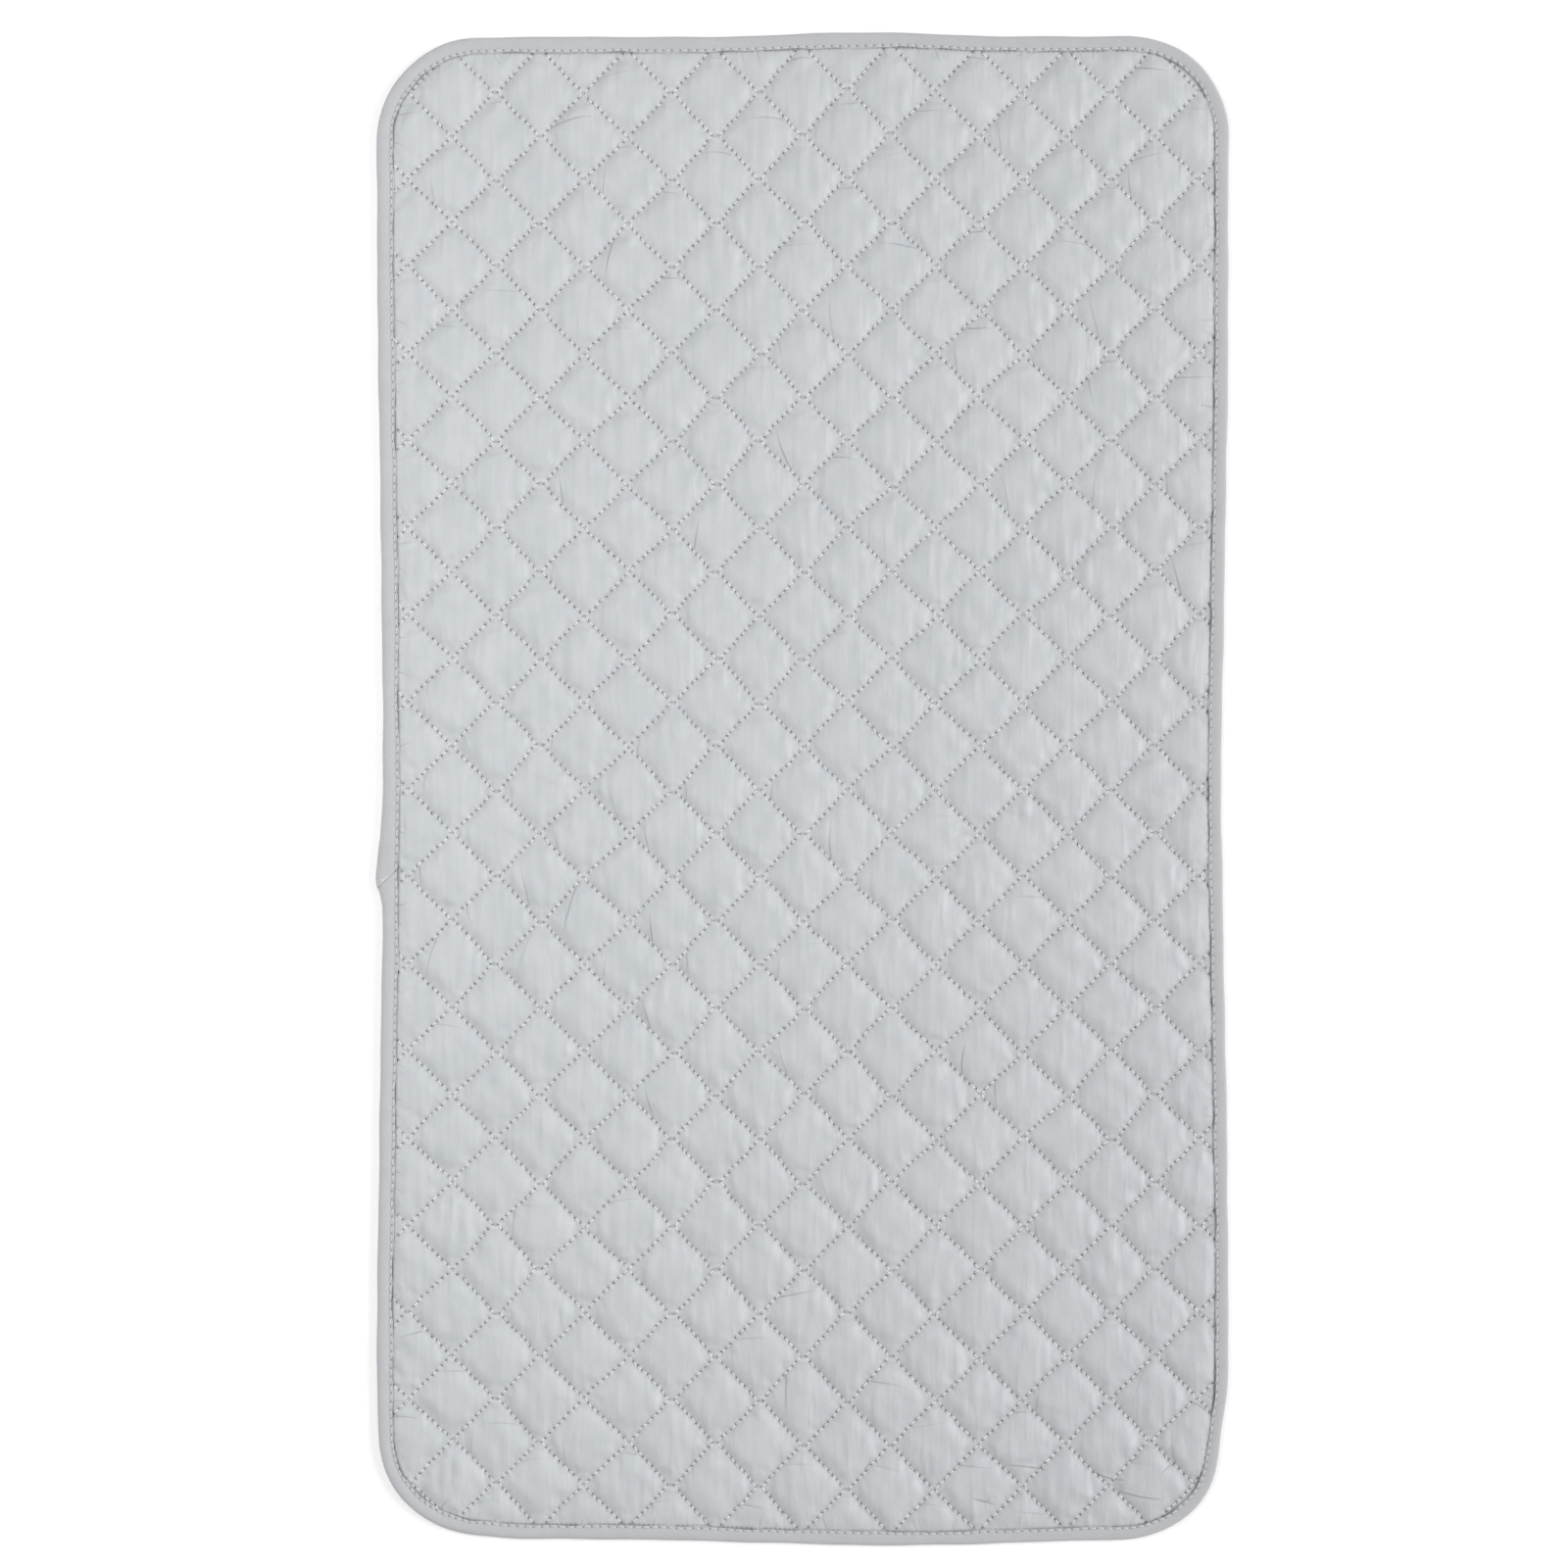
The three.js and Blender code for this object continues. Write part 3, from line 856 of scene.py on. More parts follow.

# %% [markdown]
# ## Binding tape
#
# The binding is plain woven tape, matte and slightly cloudy, with thicker places in its yarn. Shade
# is painted into a hole at each stitch of the seam. The holes come from distances that the tape
# stores for each point, as on the face.

# %% Tape finish
TAPE_WEAVE = 0.5 * MM
TAPE_DARK = (0.520, 0.524, 0.543, 1)
TAPE_PALE = (0.624, 0.629, 0.650, 1)
TAPE_HOLE_SHADE = (0.10, 0.10, 0.105, 1)
tape = Finish("binding_tape", {"Metallic": 0.0, "Specular IOR Level": 0.35})
vector = tape.here()
x, y, _ = tape.parts(vector)
cloud = tape.noise(vector, (9, 9, 9), 4.0)
slub = tape.noise(vector, (0.9, 0.9, 0.9), 2.0)
off_hole, off_seam, _ = tape.stored("seam")
hole = ((off_hole * off_hole * 0.6 + off_seam * off_seam) * -3.4).math("EXPONENT")
colour = tape.blend(cloud * 0.6 + slub * 0.4, TAPE_DARK, TAPE_PALE)
# Painted shade in the holes of the seam.
colour = tape.blend(hole * 0.6, colour, TAPE_HOLE_SHADE)
relief = tape.bump(weave_height(x, y, TAPE_WEAVE) * 0.8 + slub * 1.6, 0.05 * MM)
tape.feed(Base_Color=colour, Roughness=0.68 + slub * 0.12, Normal=relief)
print("tape:", len(tape.tree.nodes), "nodes")

# %% [markdown]
# ## Sewing threads
#
# Sewing thread is two plies twisted, which shows as slanted bands along each stitch. Modelled plies
# would cost many faces on thousands of stitches, so the bands are painted on a plain tube as shade
# and highlight, with a bump: its UV map has the length along u and one turn round along v. The
# quilting's thread has painted glints in places, and the seam's thread is greyer.

# %% Thread finishes
PLY_PITCH = 0.9 * MM
PLY_DEPTH = 0.06 * MM


def twisted_plies(finish):
    """Two plies, from 0 to 1: a sine of the length along u in pitches plus two turns of v."""
    u, v, _ = finish.parts(finish.node("UVMap", {"uv_map": "twist"}, {}))
    return (u * (2 * np.pi / PLY_PITCH) + v * (4 * np.pi)).math("SINE") * 0.5 + 0.5


thread = Finish("sewing_thread", {"Specular IOR Level": 0.5})
ply = twisted_plies(thread)
glints = thread.noise(thread.here(), (3.5, 3.5, 3.5), 1.0)
# Quilting thread: painted shade and highlight of the twisted plies, and painted glints in places up to
# nearly white.
strand = thread.blend(ply * 0.5 + glints * 2.0 - 0.6, (0.62, 0.64, 0.66, 1), (0.98, 0.99, 1.0, 1))
thread.feed(Base_Color=strand, Roughness=0.32 + ply * 0.12, Normal=thread.bump(ply, PLY_DEPTH))
seam_thread = Finish("seam_thread", {"Specular IOR Level": 0.4})
ply = twisted_plies(seam_thread)
# Seam thread: painted shade and highlight of the twisted plies.
strand = seam_thread.blend(ply, (0.62, 0.625, 0.64, 1), (0.84, 0.845, 0.86, 1))
seam_thread.feed(Base_Color=strand, Roughness=0.45 + ply * 0.12, Normal=seam_thread.bump(ply, PLY_DEPTH))
print("threads:", len(thread.tree.nodes), "and", len(seam_thread.tree.nodes), "nodes")

# %% [markdown]
# ## Backing and wadding
#
# The backing is natural cotton, matte, with long thick places in the yarn of both directions. The
# wadding is a mat of fibres that only shows where the pad is cut. Noise that is stretched along one
# axis gives both: a slub for the cotton, a tuft for the fibres.

# %% Backing finish
BACKING_WEAVE = 0.6 * MM
BACKING_HOLE_SIZE = 0.5
backing_cotton = Finish("backing_cotton", {"Specular IOR Level": 0.3})
vector = backing_cotton.here()
x, y, _ = backing_cotton.parts(vector)
warp_slub = backing_cotton.noise(vector, (0.7, 12, 12), 2.0)
weft_slub = backing_cotton.noise(vector, (12, 0.7, 12), 2.0)
hole = needle_holes(stitch_lines(backing_cotton), BACKING_HOLE_SIZE)
yarn = warp_slub * 0.5 + weft_slub * 0.5
linen = backing_cotton.blend(yarn, (0.66, 0.655, 0.63, 1), (0.80, 0.795, 0.775, 1))
# Painted shade in the needle holes.
linen = backing_cotton.blend(hole * 0.8, linen, (0.10, 0.10, 0.09, 1))
height = weave_height(x, y, BACKING_WEAVE) * 0.4 + warp_slub + weft_slub
relief = backing_cotton.bump(height, 0.05 * MM)
backing_cotton.feed(Base_Color=linen, Roughness=0.8 + warp_slub * 0.1, Normal=relief)
print("backing:", len(backing_cotton.tree.nodes), "nodes")

# %% Wadding finish
fibres = Finish("wadding", {"Specular IOR Level": 0.2})
tuft = fibres.noise(fibres.here(), (0.6, 3, 1), 5.0)
white = fibres.blend(tuft, (0.70, 0.70, 0.68, 1), (0.90, 0.90, 0.89, 1))
fibres.feed(Base_Color=white, Roughness=0.9 + tuft * 0.08, Normal=fibres.bump(tuft, 0.4 * MM))
print("wadding:", len(fibres.tree.nodes), "nodes")

# %% [markdown]
# ## Face cloth
#
# The settled sheet becomes the face. One grid line in eighteen, through the middle of the diamonds
# where the cloth is smooth, isn't needed any more and is left out to keep the mesh light.

# %% Face


def light_grid(skip):
    """Points of the sheet grid without the grid lines that skip names, and the quads between them,
    with the points counted anew."""
    rows = np.flatnonzero(~skip(np.arange(len(point_number))))
    used, faces = np.unique(grid_quads(point_number[np.ix_(rows, rows)]), return_inverse=True)
    return used, faces.reshape(-1, 4)


def sharpen_lines(piece, used):
    """Marks the mesh edges along stitch lines as sharp: both ends have the same line number."""
    ends = np.zeros(len(piece.data.edges) * 2, int)
    piece.data.edges.foreach_get("vertices", ends)
    first, second = used[ends[::2]], used[ends[1::2]]
    along_a = on_line_a[first] & (line_a[first] == line_a[second])
    along_b = on_line_b[first] & (line_b[first] == line_b[second])
    sharp = piece.data.attributes.new("sharp_edge", "BOOLEAN", "EDGE")
    sharp.data.foreach_set("value", along_a | along_b)


cloth_lattice = np.column_stack([lattice_a, lattice_b, np.maximum(inside_tape, 0) / MM])
face_points = lie(np.column_stack([face_shape[:, :2], face_shape[:, 2] + FACE_STITCHED]))
face_used, face_quads = light_grid(lambda k: k % GRID_PER_SIDE == GRID_PER_SIDE // 2)
face = make_piece("face", face_points[face_used], face_quads)
sharpen_lines(face, face_used)
add_attribute(face, "lattice", cloth_lattice[face_used])
for name, (distance, strength) in crease_maps.items():
    add_attribute(face, name, np.column_stack([distance / MM, strength, 0 * strength])[face_used])
place_piece(face, silver, "silver_cloth", "face_cloth")
print("face:", len(face_quads) * 2, "triangles")

# %% [markdown]
# ## Backing
#
# The underside is quilted by the same stitches, so it is the same kind of sheet turned over. Its
# pillows press on the table: a soft limit flattens them where they reach it.

# %% Backing
TABLE_CLEARANCE = 0.08 * MM
BACKING_PUFF = 1.2
BACKING_SINK = 0.2 * MM
BACKING_DROP = BACKING_STITCHED - TABLE_CLEARANCE
last_line = len(point_number) - 1
turned = point_number[last_line - line_b, last_line - line_a]
sag = BACKING_PUFF * np.maximum(face_shape[turned, 2], -BACKING_SINK)
pressed = BACKING_DROP * np.tanh(sag / BACKING_DROP)
backing_points = lie(np.column_stack([face_shape[:, :2], BACKING_STITCHED - pressed]))
backing = make_piece("backing", backing_points[face_used], face_quads[:, ::-1])
sharpen_lines(backing, face_used)
add_attribute(backing, "lattice", cloth_lattice[face_used])
place_piece(backing, backing_cotton, "backing_cotton", "backing_cloth")
print("backing from", round(float(backing_points[:, 2].min()) / MM, 2), "mm up")

# %% [markdown]
# ## Wadding
#
# Between the two cloths lies a sheet of fibres, thin where the stitches pinch it. It follows both
# cloths on every second grid line, with a wall round its edge that closes it.

# %% Wadding
CLOTH_DEPTH = 0.4 * MM
WADDING_LEAST = 0.15 * MM


def lowest_near(height):
    """The lowest height among a grid point and its eight neighbours, from shifted copies of the grid."""
    grid = np.full(point_number.shape, np.inf)
    grid[line_a, line_b] = height
    for axis in (0, 1):
        grid = np.minimum(grid, np.minimum(np.roll(grid, 1, axis), np.roll(grid, -1, axis)))
    return grid[line_a, line_b]


def rim_edges(faces):
    """Directed edges that only one face has: an edge is a rim edge if its reverse is nowhere."""
    edges = np.concatenate([faces[:, [k, (k + 1) % 4]] for k in range(4)])
    count = faces.max() + 1
    forward = edges[:, 0] * count + edges[:, 1]
    backward = edges[:, 1] * count + edges[:, 0]
    return edges[~np.isin(forward, backward)]


pad_used, pad_quads = light_grid(lambda k: k % 2 == 1)
upper = face_points[pad_used].copy()
upper[:, 2] = lowest_near(face_points[:, 2])[pad_used] - CLOTH_DEPTH
lower = backing_points[pad_used].copy()
lower[:, 2] = -lowest_near(-backing_points[:, 2])[pad_used] + CLOTH_DEPTH
lower[:, 2] = np.minimum(lower[:, 2], upper[:, 2] - WADDING_LEAST)
rim = rim_edges(pad_quads)
wall = np.column_stack([rim[:, 1], rim[:, 0], rim[:, 0] + len(upper), rim[:, 1] + len(upper)])
pad_faces = np.concatenate([pad_quads, pad_quads[:, ::-1] + len(upper), wall])
wadding = make_piece("wadding_fill", np.concatenate([upper, lower]), pad_faces)
place_piece(wadding, fibres, "wadding", "wadding")
print("wadding:", len(pad_faces), "faces")

# %% [markdown]
# ## Stitches
#
# A lockstitch shows as a row of separate stitches, each a short length of thread that comes up out
# of one hole and goes down into the next. Every stitch is the same small tube with pointed ends,
# bent over the cloth between its two holes, and all stitches of one thread make one piece.

# %% Stitch shape
STITCH_AT = np.array([0.05, 0.2, 0.4, 0.6, 0.8, 0.95])
STITCH_LIFT = np.array([-0.9, 0.45, 0.9, 0.9, 0.45, -0.9])
STITCH_SIDES = 6
STITCH_SLANT = 0.14 * MM
THREAD_WIDTH = 0.68 * MM
THREAD_HEIGHT = 0.42 * MM


def stitch_faces():
    """Rings of quads between two tips: quads and triangles by point number, and the (u, v) of their
    corners on the tube."""
    rings = len(STITCH_AT) - 2
    side = np.arange(STITCH_SIDES)
    ring = np.arange(rings - 1)[:, None]
    nxt = (side + 1) % STITCH_SIDES
    low, high = ring * STITCH_SIDES, (ring + 1) * STITCH_SIDES
    body = np.stack([low + side, low + nxt, high + nxt, high + side], -1).reshape(-1, 4)
    last = (rings - 1) * STITCH_SIDES
    first_tip, last_tip = rings * STITCH_SIDES, rings * STITCH_SIDES + 1
    start = np.stack([nxt, side, np.full(STITCH_SIDES, first_tip)], -1)
    end = np.stack([last + side, last + nxt, np.full(STITCH_SIDES, last_tip)], -1)
    tips = np.concatenate([start, end])
    point_u = np.concatenate([np.repeat(STITCH_AT[1:-1], STITCH_SIDES), [0, 1]])
    body_v = np.tile(np.stack([side, side + 1, side + 1, side], -1), (rings - 1, 1))
    start_v = np.stack([side + 1, side, side + 0.5], -1)
    end_v = np.stack([side, side + 1, side + 0.5], -1)
    body_uv = np.stack([point_u[body], body_v / STITCH_SIDES], -1)
    tip_uv = np.stack([point_u[tips], np.concatenate([start_v, end_v]) / STITCH_SIDES], -1)
    return body, tips, body_uv, tip_uv


STITCH_BODY, STITCH_TIPS, BODY_UV, TIP_UV = stitch_faces()


def make_stitches(name, start, end, middle, up):
    """One tube for each pair of holes: a parabola lifts it to the cloth at the middle, a sine slants
    it, and each ring is an ellipse across the stitch."""
    count = len(start)
    at = STITCH_AT[None, :, None]
    along = end - start
    length = np.linalg.norm(along, axis=1)
    across = np.stack([-along[:, 1], along[:, 0], np.zeros(count)], -1) / length[:, None]
    hump = (4 * at * (1 - at)) * (middle - (start + end) / 2)[:, None, :]
    spine = start[:, None, :] * (1 - at) + end[:, None, :] * at + hump
    spine = spine + across[:, None, :] * (STITCH_SLANT * np.sin(2 * np.pi * at))
    spine[..., 2] += up * STITCH_LIFT * THREAD_HEIGHT
    angle = np.arange(STITCH_SIDES) * 2 * np.pi / STITCH_SIDES
    ring = across[:, None, None, :] * np.cos(angle)[None, None, :, None] * THREAD_WIDTH / 2
    ring = ring + np.sin(angle)[None, None, :, None] * np.array([0, 0, THREAD_HEIGHT / 2])
    tubes = (spine[:, 1:-1, None, :] + ring).reshape(count, -1, 3)
    points = np.concatenate([tubes, spine[:, [0, -1], :]], 1)
    base = (np.arange(count) * points.shape[1])[:, None, None]
    body = (STITCH_BODY + base).reshape(-1, 4)
    tips = (STITCH_TIPS + base).reshape(-1, 3)
    piece = make_piece(name, points.reshape(-1, 3), body, tips)
    scale = np.stack([length, np.ones(count)], -1)[:, None, None, :]
    add_twist(piece, np.concatenate([(uv * scale).reshape(-1, 2) for uv in (BODY_UV, TIP_UV)]))
    return piece


print("stitch:", len(STITCH_BODY) + len(STITCH_TIPS), "faces")

# %% [markdown]
# ## Quilting threads
#
# The quilting machine has a row of needles that swing from side to side as the cloth advances, so
# each thread is a zigzag between two columns. Neighbours turn back to back, which draws diamonds.
# The holes are grid points of the sheet, so every stitch finds its cloth by number.

# %% Zigzag threads
ROW_REACH = 18
LAST_IN_SIGHT = BINDING_WIDTH - 0.2 * MM
LEAST_HUMP = 0.02 * MM
MOST_HUMP = 0.5 * MM


def to_line(lattice):
    """The grid line of a lattice coordinate, two units to every GRID_PER_SIDE lines."""
    return np.rint((lattice + LATTICE_REACH) * GRID_PER_SIDE / 2).astype(int)


def zigzag(column):
    """Numbers of the sheet points at one thread's holes and at the middles between them, row by row,
    and their sideways shift: the thread turns at its left column where column plus row is odd,
    otherwise at the next one."""
    row = np.arange(-ROW_REACH, ROW_REACH + 1)
    turn = column + ((column + row) % 2 == 0)
    step = np.arange((len(row) - 1) * GRID_PER_SIDE + 1) / GRID_PER_SIDE
    number_a = to_line(np.interp(step, np.arange(len(row)), turn + row))
    number_b = to_line(np.interp(step, np.arange(len(row)), turn - row))
    side = np.where(turn == column, 1, -1)
    reach = TURN_HOLE + turn_gap(number_a, number_b)[0] / 2 * np.tanh(TURN_HOLE / MM)
    nudge = np.where(step % 1 == 0, side[np.rint(step).astype(int)], 0) * reach
    return point_number[number_a, number_b], nudge


def thread_piece(name, columns, cloth, up):
    """The stitches of the named zigzags on one cloth, as far as the binding leaves them in sight."""
    ends = []
    for column in columns:
        number, nudge = zigzag(column)
        place = cloth[number] + np.column_stack([nudge, 0 * nudge, 0 * nudge])
        seen = (number >= 0) & (flat_inset[number] > LAST_IN_SIGHT)
        whole = seen[:-2:2] & seen[1:-1:2] & seen[2::2]
        ends.append([place[:-2:2][whole], place[2::2][whole], place[1:-1:2][whole]])
    start, end, middle = (np.concatenate(part) for part in zip(*ends))
    level = (start[:, 2] + end[:, 2]) / 2
    middle[:, :2] = (start[:, :2] + end[:, :2]) / 2
    middle[:, 2] = level + up * np.clip(up * (middle[:, 2] - level), LEAST_HUMP, MOST_HUMP)
    return make_stitches(name, start, end, middle, up)


stitch_total = 0
for index in range(2 * OUTER_COLUMN):
    for kind, cloth, up in (("quilt", face_points, 1), ("bobbin", backing_points, -1)):
        stitches = thread_piece(f"{kind}_stitches_{index + 1:02d}", [index - OUTER_COLUMN], cloth, up)
        place_piece(stitches, thread, "sewing_thread", f"{kind}_thread_{index + 1:02d}")
        stitch_total += len(stitches.data.polygons)
for kind, cloth, up in (("face", face_points, 1), ("backing", backing_points, -1)):
    stubs = thread_piece(f"stub_stitches_{kind}", [-OUTER_COLUMN - 1, OUTER_COLUMN], cloth, up)
    place_piece(stubs, thread, "sewing_thread")
print("quilting:", stitch_total, "faces of thread")

# %% [markdown]
# ## Edge binding
#
# The tape is folded over the raw edges of all three layers and sewn down in one line. Its section
# is a flat C; carried round the edge it makes one closed band. The seam pulls it down at each
# needle hole, so the band puckers at the pitch of the stitches, more where it is eased round a
# corner.

# %% Tape section and path
SEAM_PITCH = 4.75 * MM
PER_STITCH = 4
FOLD_CENTRE = 1.75
FOLD_OUTSIDE = 1.75
FOLD_INSIDE = 1.35
SEAM_POINT = np.array([7.45, 2.95])
seam_count = round(edge_length / SEAM_PITCH)
edge = edge_path(seam_count * PER_STITCH)[0]
edge_step = edge_length / len(edge)
edge_normal = inward(edge)
station = np.arange(len(edge))


def fold_arc(radius, start, stop, count):
    """Points of the fold: an arc about the centre of the fold, as (inset, height) in millimetres."""
    angle = np.radians(np.linspace(start, stop, count))
    return np.stack([FOLD_CENTRE + radius * np.cos(angle), FOLD_CENTRE + radius * np.sin(angle)], -1)


def turned_under(section):
    """The same points on the lower ply: heights mirrored about the centre of the fold."""
    return section * [1, -1] + [0, 2 * FOLD_CENTRE]


UPPER_PLY = np.array(
    [[8.0, 2.56], [8.4, 2.6], [8.58, 2.8], [8.45, 3.0], [8.15, 3.1], [7.85, 3.06], SEAM_POINT]
    + [[6.95, 3.08], [5.9, 3.3], [4.8, 3.45], [3.4, 3.5]]
)
INNER_FACE = np.array([[7.0, 2.55], [5.8, 2.86], [4.8, 3.03], [3.0, 3.1]])
outer_side = [UPPER_PLY, fold_arc(FOLD_OUTSIDE, 90, 270, 9), turned_under(UPPER_PLY[::-1])]
inner_side = [turned_under(INNER_FACE), fold_arc(FOLD_INSIDE, 250, 110, 3), INNER_FACE[::-1]]
TAPE_SECTION = np.concatenate(outer_side + inner_side)
print("tape section:", len(TAPE_SECTION), "points,", seam_count, "stitches round")

# %% [markdown]
# ## Carrying the tape round the edge
#
# A curve with a bevel object could carry the section, but it couldn't pucker at each stitch. So the
# section is a row of (inset, height) points, and each row of the band moves them: the seam beats at
# the pitch of the stitches, the lip and the fold wander, and the upper ply stands up on the left.

# %% Tape carried round the edge
LIP_WANDER = 0.42 * MM
LIP_LIFT = 0.10 * MM
FOLD_WANDER = 0.20 * MM
SEAM_BEAT = 0.10 * MM
SEAM_SPREAD = 1.5 * MM
LIP_FROM = 6 * MM
LIP_OVER = 2.5 * MM
FOLD_OVER = 4 * MM
CORNER_EASE = 1.2
TAPE_STAND = 0.8 * MM
STAND_AT = 2.8 * MM
STAND_SPREAD = 4.4 * MM
past_x = np.abs(edge[:, 0]) - (WIDTH / 2 - CORNER)
past_y = np.abs(edge[:, 1]) - STRAIGHT
in_corner = (past_x > 0) & (past_y > 0)
corner_share = np.clip(past_x * past_y / (0.3 * CORNER**2), 0, 1) * in_corner


def waves(cycles, seed):
    """Sum of sines with whole numbers of cycles round the edge, so that it closes, and random phases."""
    phase = np.random.default_rng(seed).uniform(0, 2 * np.pi, len(cycles))
    turns = (station / len(edge))[:, None] * np.array(cycles)
    return np.sin(2 * np.pi * turns + phase).sum(1) / np.sqrt(len(cycles))


lip_wander = LIP_WANDER * waves([23, 31, 47, 83, 127], 3)
lip_lift = np.abs(LIP_LIFT * waves([43, 71, 113], 4))
fold_wander = FOLD_WANDER * waves([19, 37, 61], 5)


def tape_band(section, rows, outward):
    """Carries the section along the edge: insets are stretched to the tape's width, the seam is
    pulled in at each hole and swells between holes, and the lip and the fold wander. The upper ply
    stands up in a parabola between fold and seam, most on the left side."""
    inset, height = section[:, 0] * MM, section[:, 1] * MM
    width = tape_width(edge[rows, 0], edge[rows, 1])[:, None]
    near_seam = bell(inset - SEAM_INSET, SEAM_SPREAD)
    near_lip = np.clip((inset - LIP_FROM) / LIP_OVER, 0, 1)
    at_fold = np.clip(1 - inset / FOLD_OVER, 0, 1)
    upper = np.where(height > FOLD_CENTRE * MM, 1, -1)
    beat = -SEAM_BEAT * np.cos(2 * np.pi * rows / PER_STITCH)[:, None]
    beat = beat * (1 + CORNER_EASE * corner_share[rows][:, None])
    reach = inset * width / BINDING_WIDTH
    reach = reach + near_lip * (lip_wander[rows][:, None] + beat)
    reach = reach + at_fold * (fold_wander[rows] - outward)[:, None]
    rise = near_seam * beat + near_lip * lip_lift[rows][:, None] * (upper > 0)
    stand = TAPE_STAND * np.clip(0.5 - edge[rows, 0] / WIDTH, 0, 1)[:, None] ** 2
    stand = stand * np.clip(1 - ((inset - STAND_AT) / STAND_SPREAD) ** 2, 0, 1)
    z = height + upper * rise + stand * np.clip(height / (FOLD_CENTRE * MM) - 1, 0, 1)
    place = edge[rows][:, None, :] + edge_normal[rows][:, None, :] * reach[..., None]
    return np.concatenate([place, z[..., None]], -1)


print("lip wanders by up to", round(float(np.abs(lip_wander).max()) / MM, 2), "mm")

# %% [markdown]
# ## The binding
#
# One band closes round the whole pad. It bulges outwards on the left, where the two ends of the
# tape lie over each other. Each point stores how far it is from the holes and the line of the
# seam, so that the finish can draw the holes.

# %% Binding
LAP_FLARE = 3.0 * MM
FLARE_START = 4 * MM
FLARE_OVER = 52 * MM
FLARE_END = -66 * MM
FLARE_FADE = 14 * MM
on_left = edge[:, 0] < -WIDTH / 4
flare = np.clip((FLARE_START - edge[:, 1]) / FLARE_OVER, 0, 1) ** 1.5
flare = flare * np.clip((edge[:, 1] - FLARE_END) / FLARE_FADE, 0, 1)
lap_bulge = np.where(on_left, LAP_FLARE * flare, 0)


def band_faces(rows, points_round, closed):
    """Quads between neighbouring sections of a band, with the last joined to the first if closed."""
    here = np.arange(rows if closed else rows - 1)[:, None]
    there = (here + 1) % rows
    point = np.arange(points_round)
    nxt = (point + 1) % points_round
    corners = [here * points_round + point, here * points_round + nxt]
    corners += [there * points_round + nxt, there * points_round + point]
    return np.stack(corners, -1).reshape(-1, 4)


def add_seam(piece, row, section):
    """Stores each point's distance in millimetres from the nearest hole of the seam, as a cosine of
    its row round the edge, and from the line of the seam."""
    off_hole = (1 - np.cos(2 * np.pi * row / PER_STITCH)) * SEAM_PITCH / 4 / MM
    off_seam = np.abs(section[:, 0] - SEAM_INSET / MM)
    off_hole, off_seam = np.broadcast_arrays(off_hole, off_seam)
    add_attribute(piece, "seam", np.stack([off_hole, off_seam, 0 * off_hole], -1))


band = tape_band(TAPE_SECTION, station, lap_bulge)
band_quads = band_faces(len(station), len(TAPE_SECTION), True)
binding = make_piece("binding", lie(band.reshape(-1, 3)), band_quads)
add_seam(binding, station[:, None], TAPE_SECTION)
place_piece(binding, tape, "binding_tape", "edge_binding")
print("binding:", len(band_quads) * 2, "triangles")

# %% [markdown]
# ## Lap of the tape
#
# The tape's end is laid over its start on the left side, where it stands off a little and flares
# outwards. Its section is the upper part of the C, one tape thickness further out, closed by a strip
# of faces at both ends. It starts sunk into the tape below it, so that no step shows there.

# %% Lap
LAP_START, LAP_END = -24 * MM, -57 * MM
LAP_SLANT = 10 * MM
LAP_OUTSIDE = 0.48
LAP_INSIDE = 0.08
LAP_STAND = 0.2 * MM
LAP_SUNK = 0.56 * MM
LAP_RAISE = 0.5 * MM
LAP_RISING = 3
SLANT_INSET = 7


def lap_side(offset):
    """The upper ply and the fold of the tape, pushed out by offset millimetres."""
    ply = [[8.35, 3.06], [7.9, 3.07], [7.45, 3.0], [6.9, 3.1], [5.8, 3.33], [4.6, 3.46], [3.2, 3.5]]
    return np.concatenate([np.array(ply) + [0, offset], fold_arc(FOLD_OUTSIDE + offset, 90, 212, 7)])


LAP_SECTION = np.concatenate([lap_side(LAP_OUTSIDE), lap_side(LAP_INSIDE)[::-1]])
lap_rows = np.flatnonzero(on_left & (edge[:, 1] < LAP_START) & (edge[:, 1] > LAP_END))
lap_share = np.linspace(0, 1, len(lap_rows))
lap = tape_band(LAP_SECTION, lap_rows, lap_bulge[lap_rows] + LAP_STAND * lap_share)
sunk = LAP_SUNK * np.clip(1 - lap_share * LAP_RISING, 0, 1)[:, None]
lap[..., 2] -= sunk
lap[..., 0] += sunk * (LAP_SECTION[:, 0] < 3)
slanted = LAP_SLANT * np.clip(LAP_SECTION[:, 0] / SLANT_INSET, 0, 1) * lap_share[:, None]
lap[..., 1] += slanted
lap_quads = band_faces(len(lap_rows), len(LAP_SECTION), False)
outside = np.arange(len(LAP_SECTION) // 2 - 1)
inside = len(LAP_SECTION) - 1 - outside
first = np.stack([outside + 1, outside, inside, inside - 1], -1)
last = first[:, ::-1] + (len(lap_rows) - 1) * len(LAP_SECTION)
lap_piece = make_piece("binding_lap", lie(lap.reshape(-1, 3)), np.concatenate([lap_quads, first, last]))
add_seam(lap_piece, lap_rows[:, None] - slanted / edge_step, LAP_SECTION)
place_piece(lap_piece, tape, "binding_tape")
print("lap:", len(lap_quads), "faces over", round(float(np.ptp(edge[lap_rows, 1])) / MM, 1), "mm")

# %% [markdown]
# ## Loose threads of the lap
#
# At its raw end the tape's weave comes apart in a few loose threads. They could be curves with a
# bevel, but they have to lie on the tape, so each is a thin tapering tube along a bent line of
# places on the band.

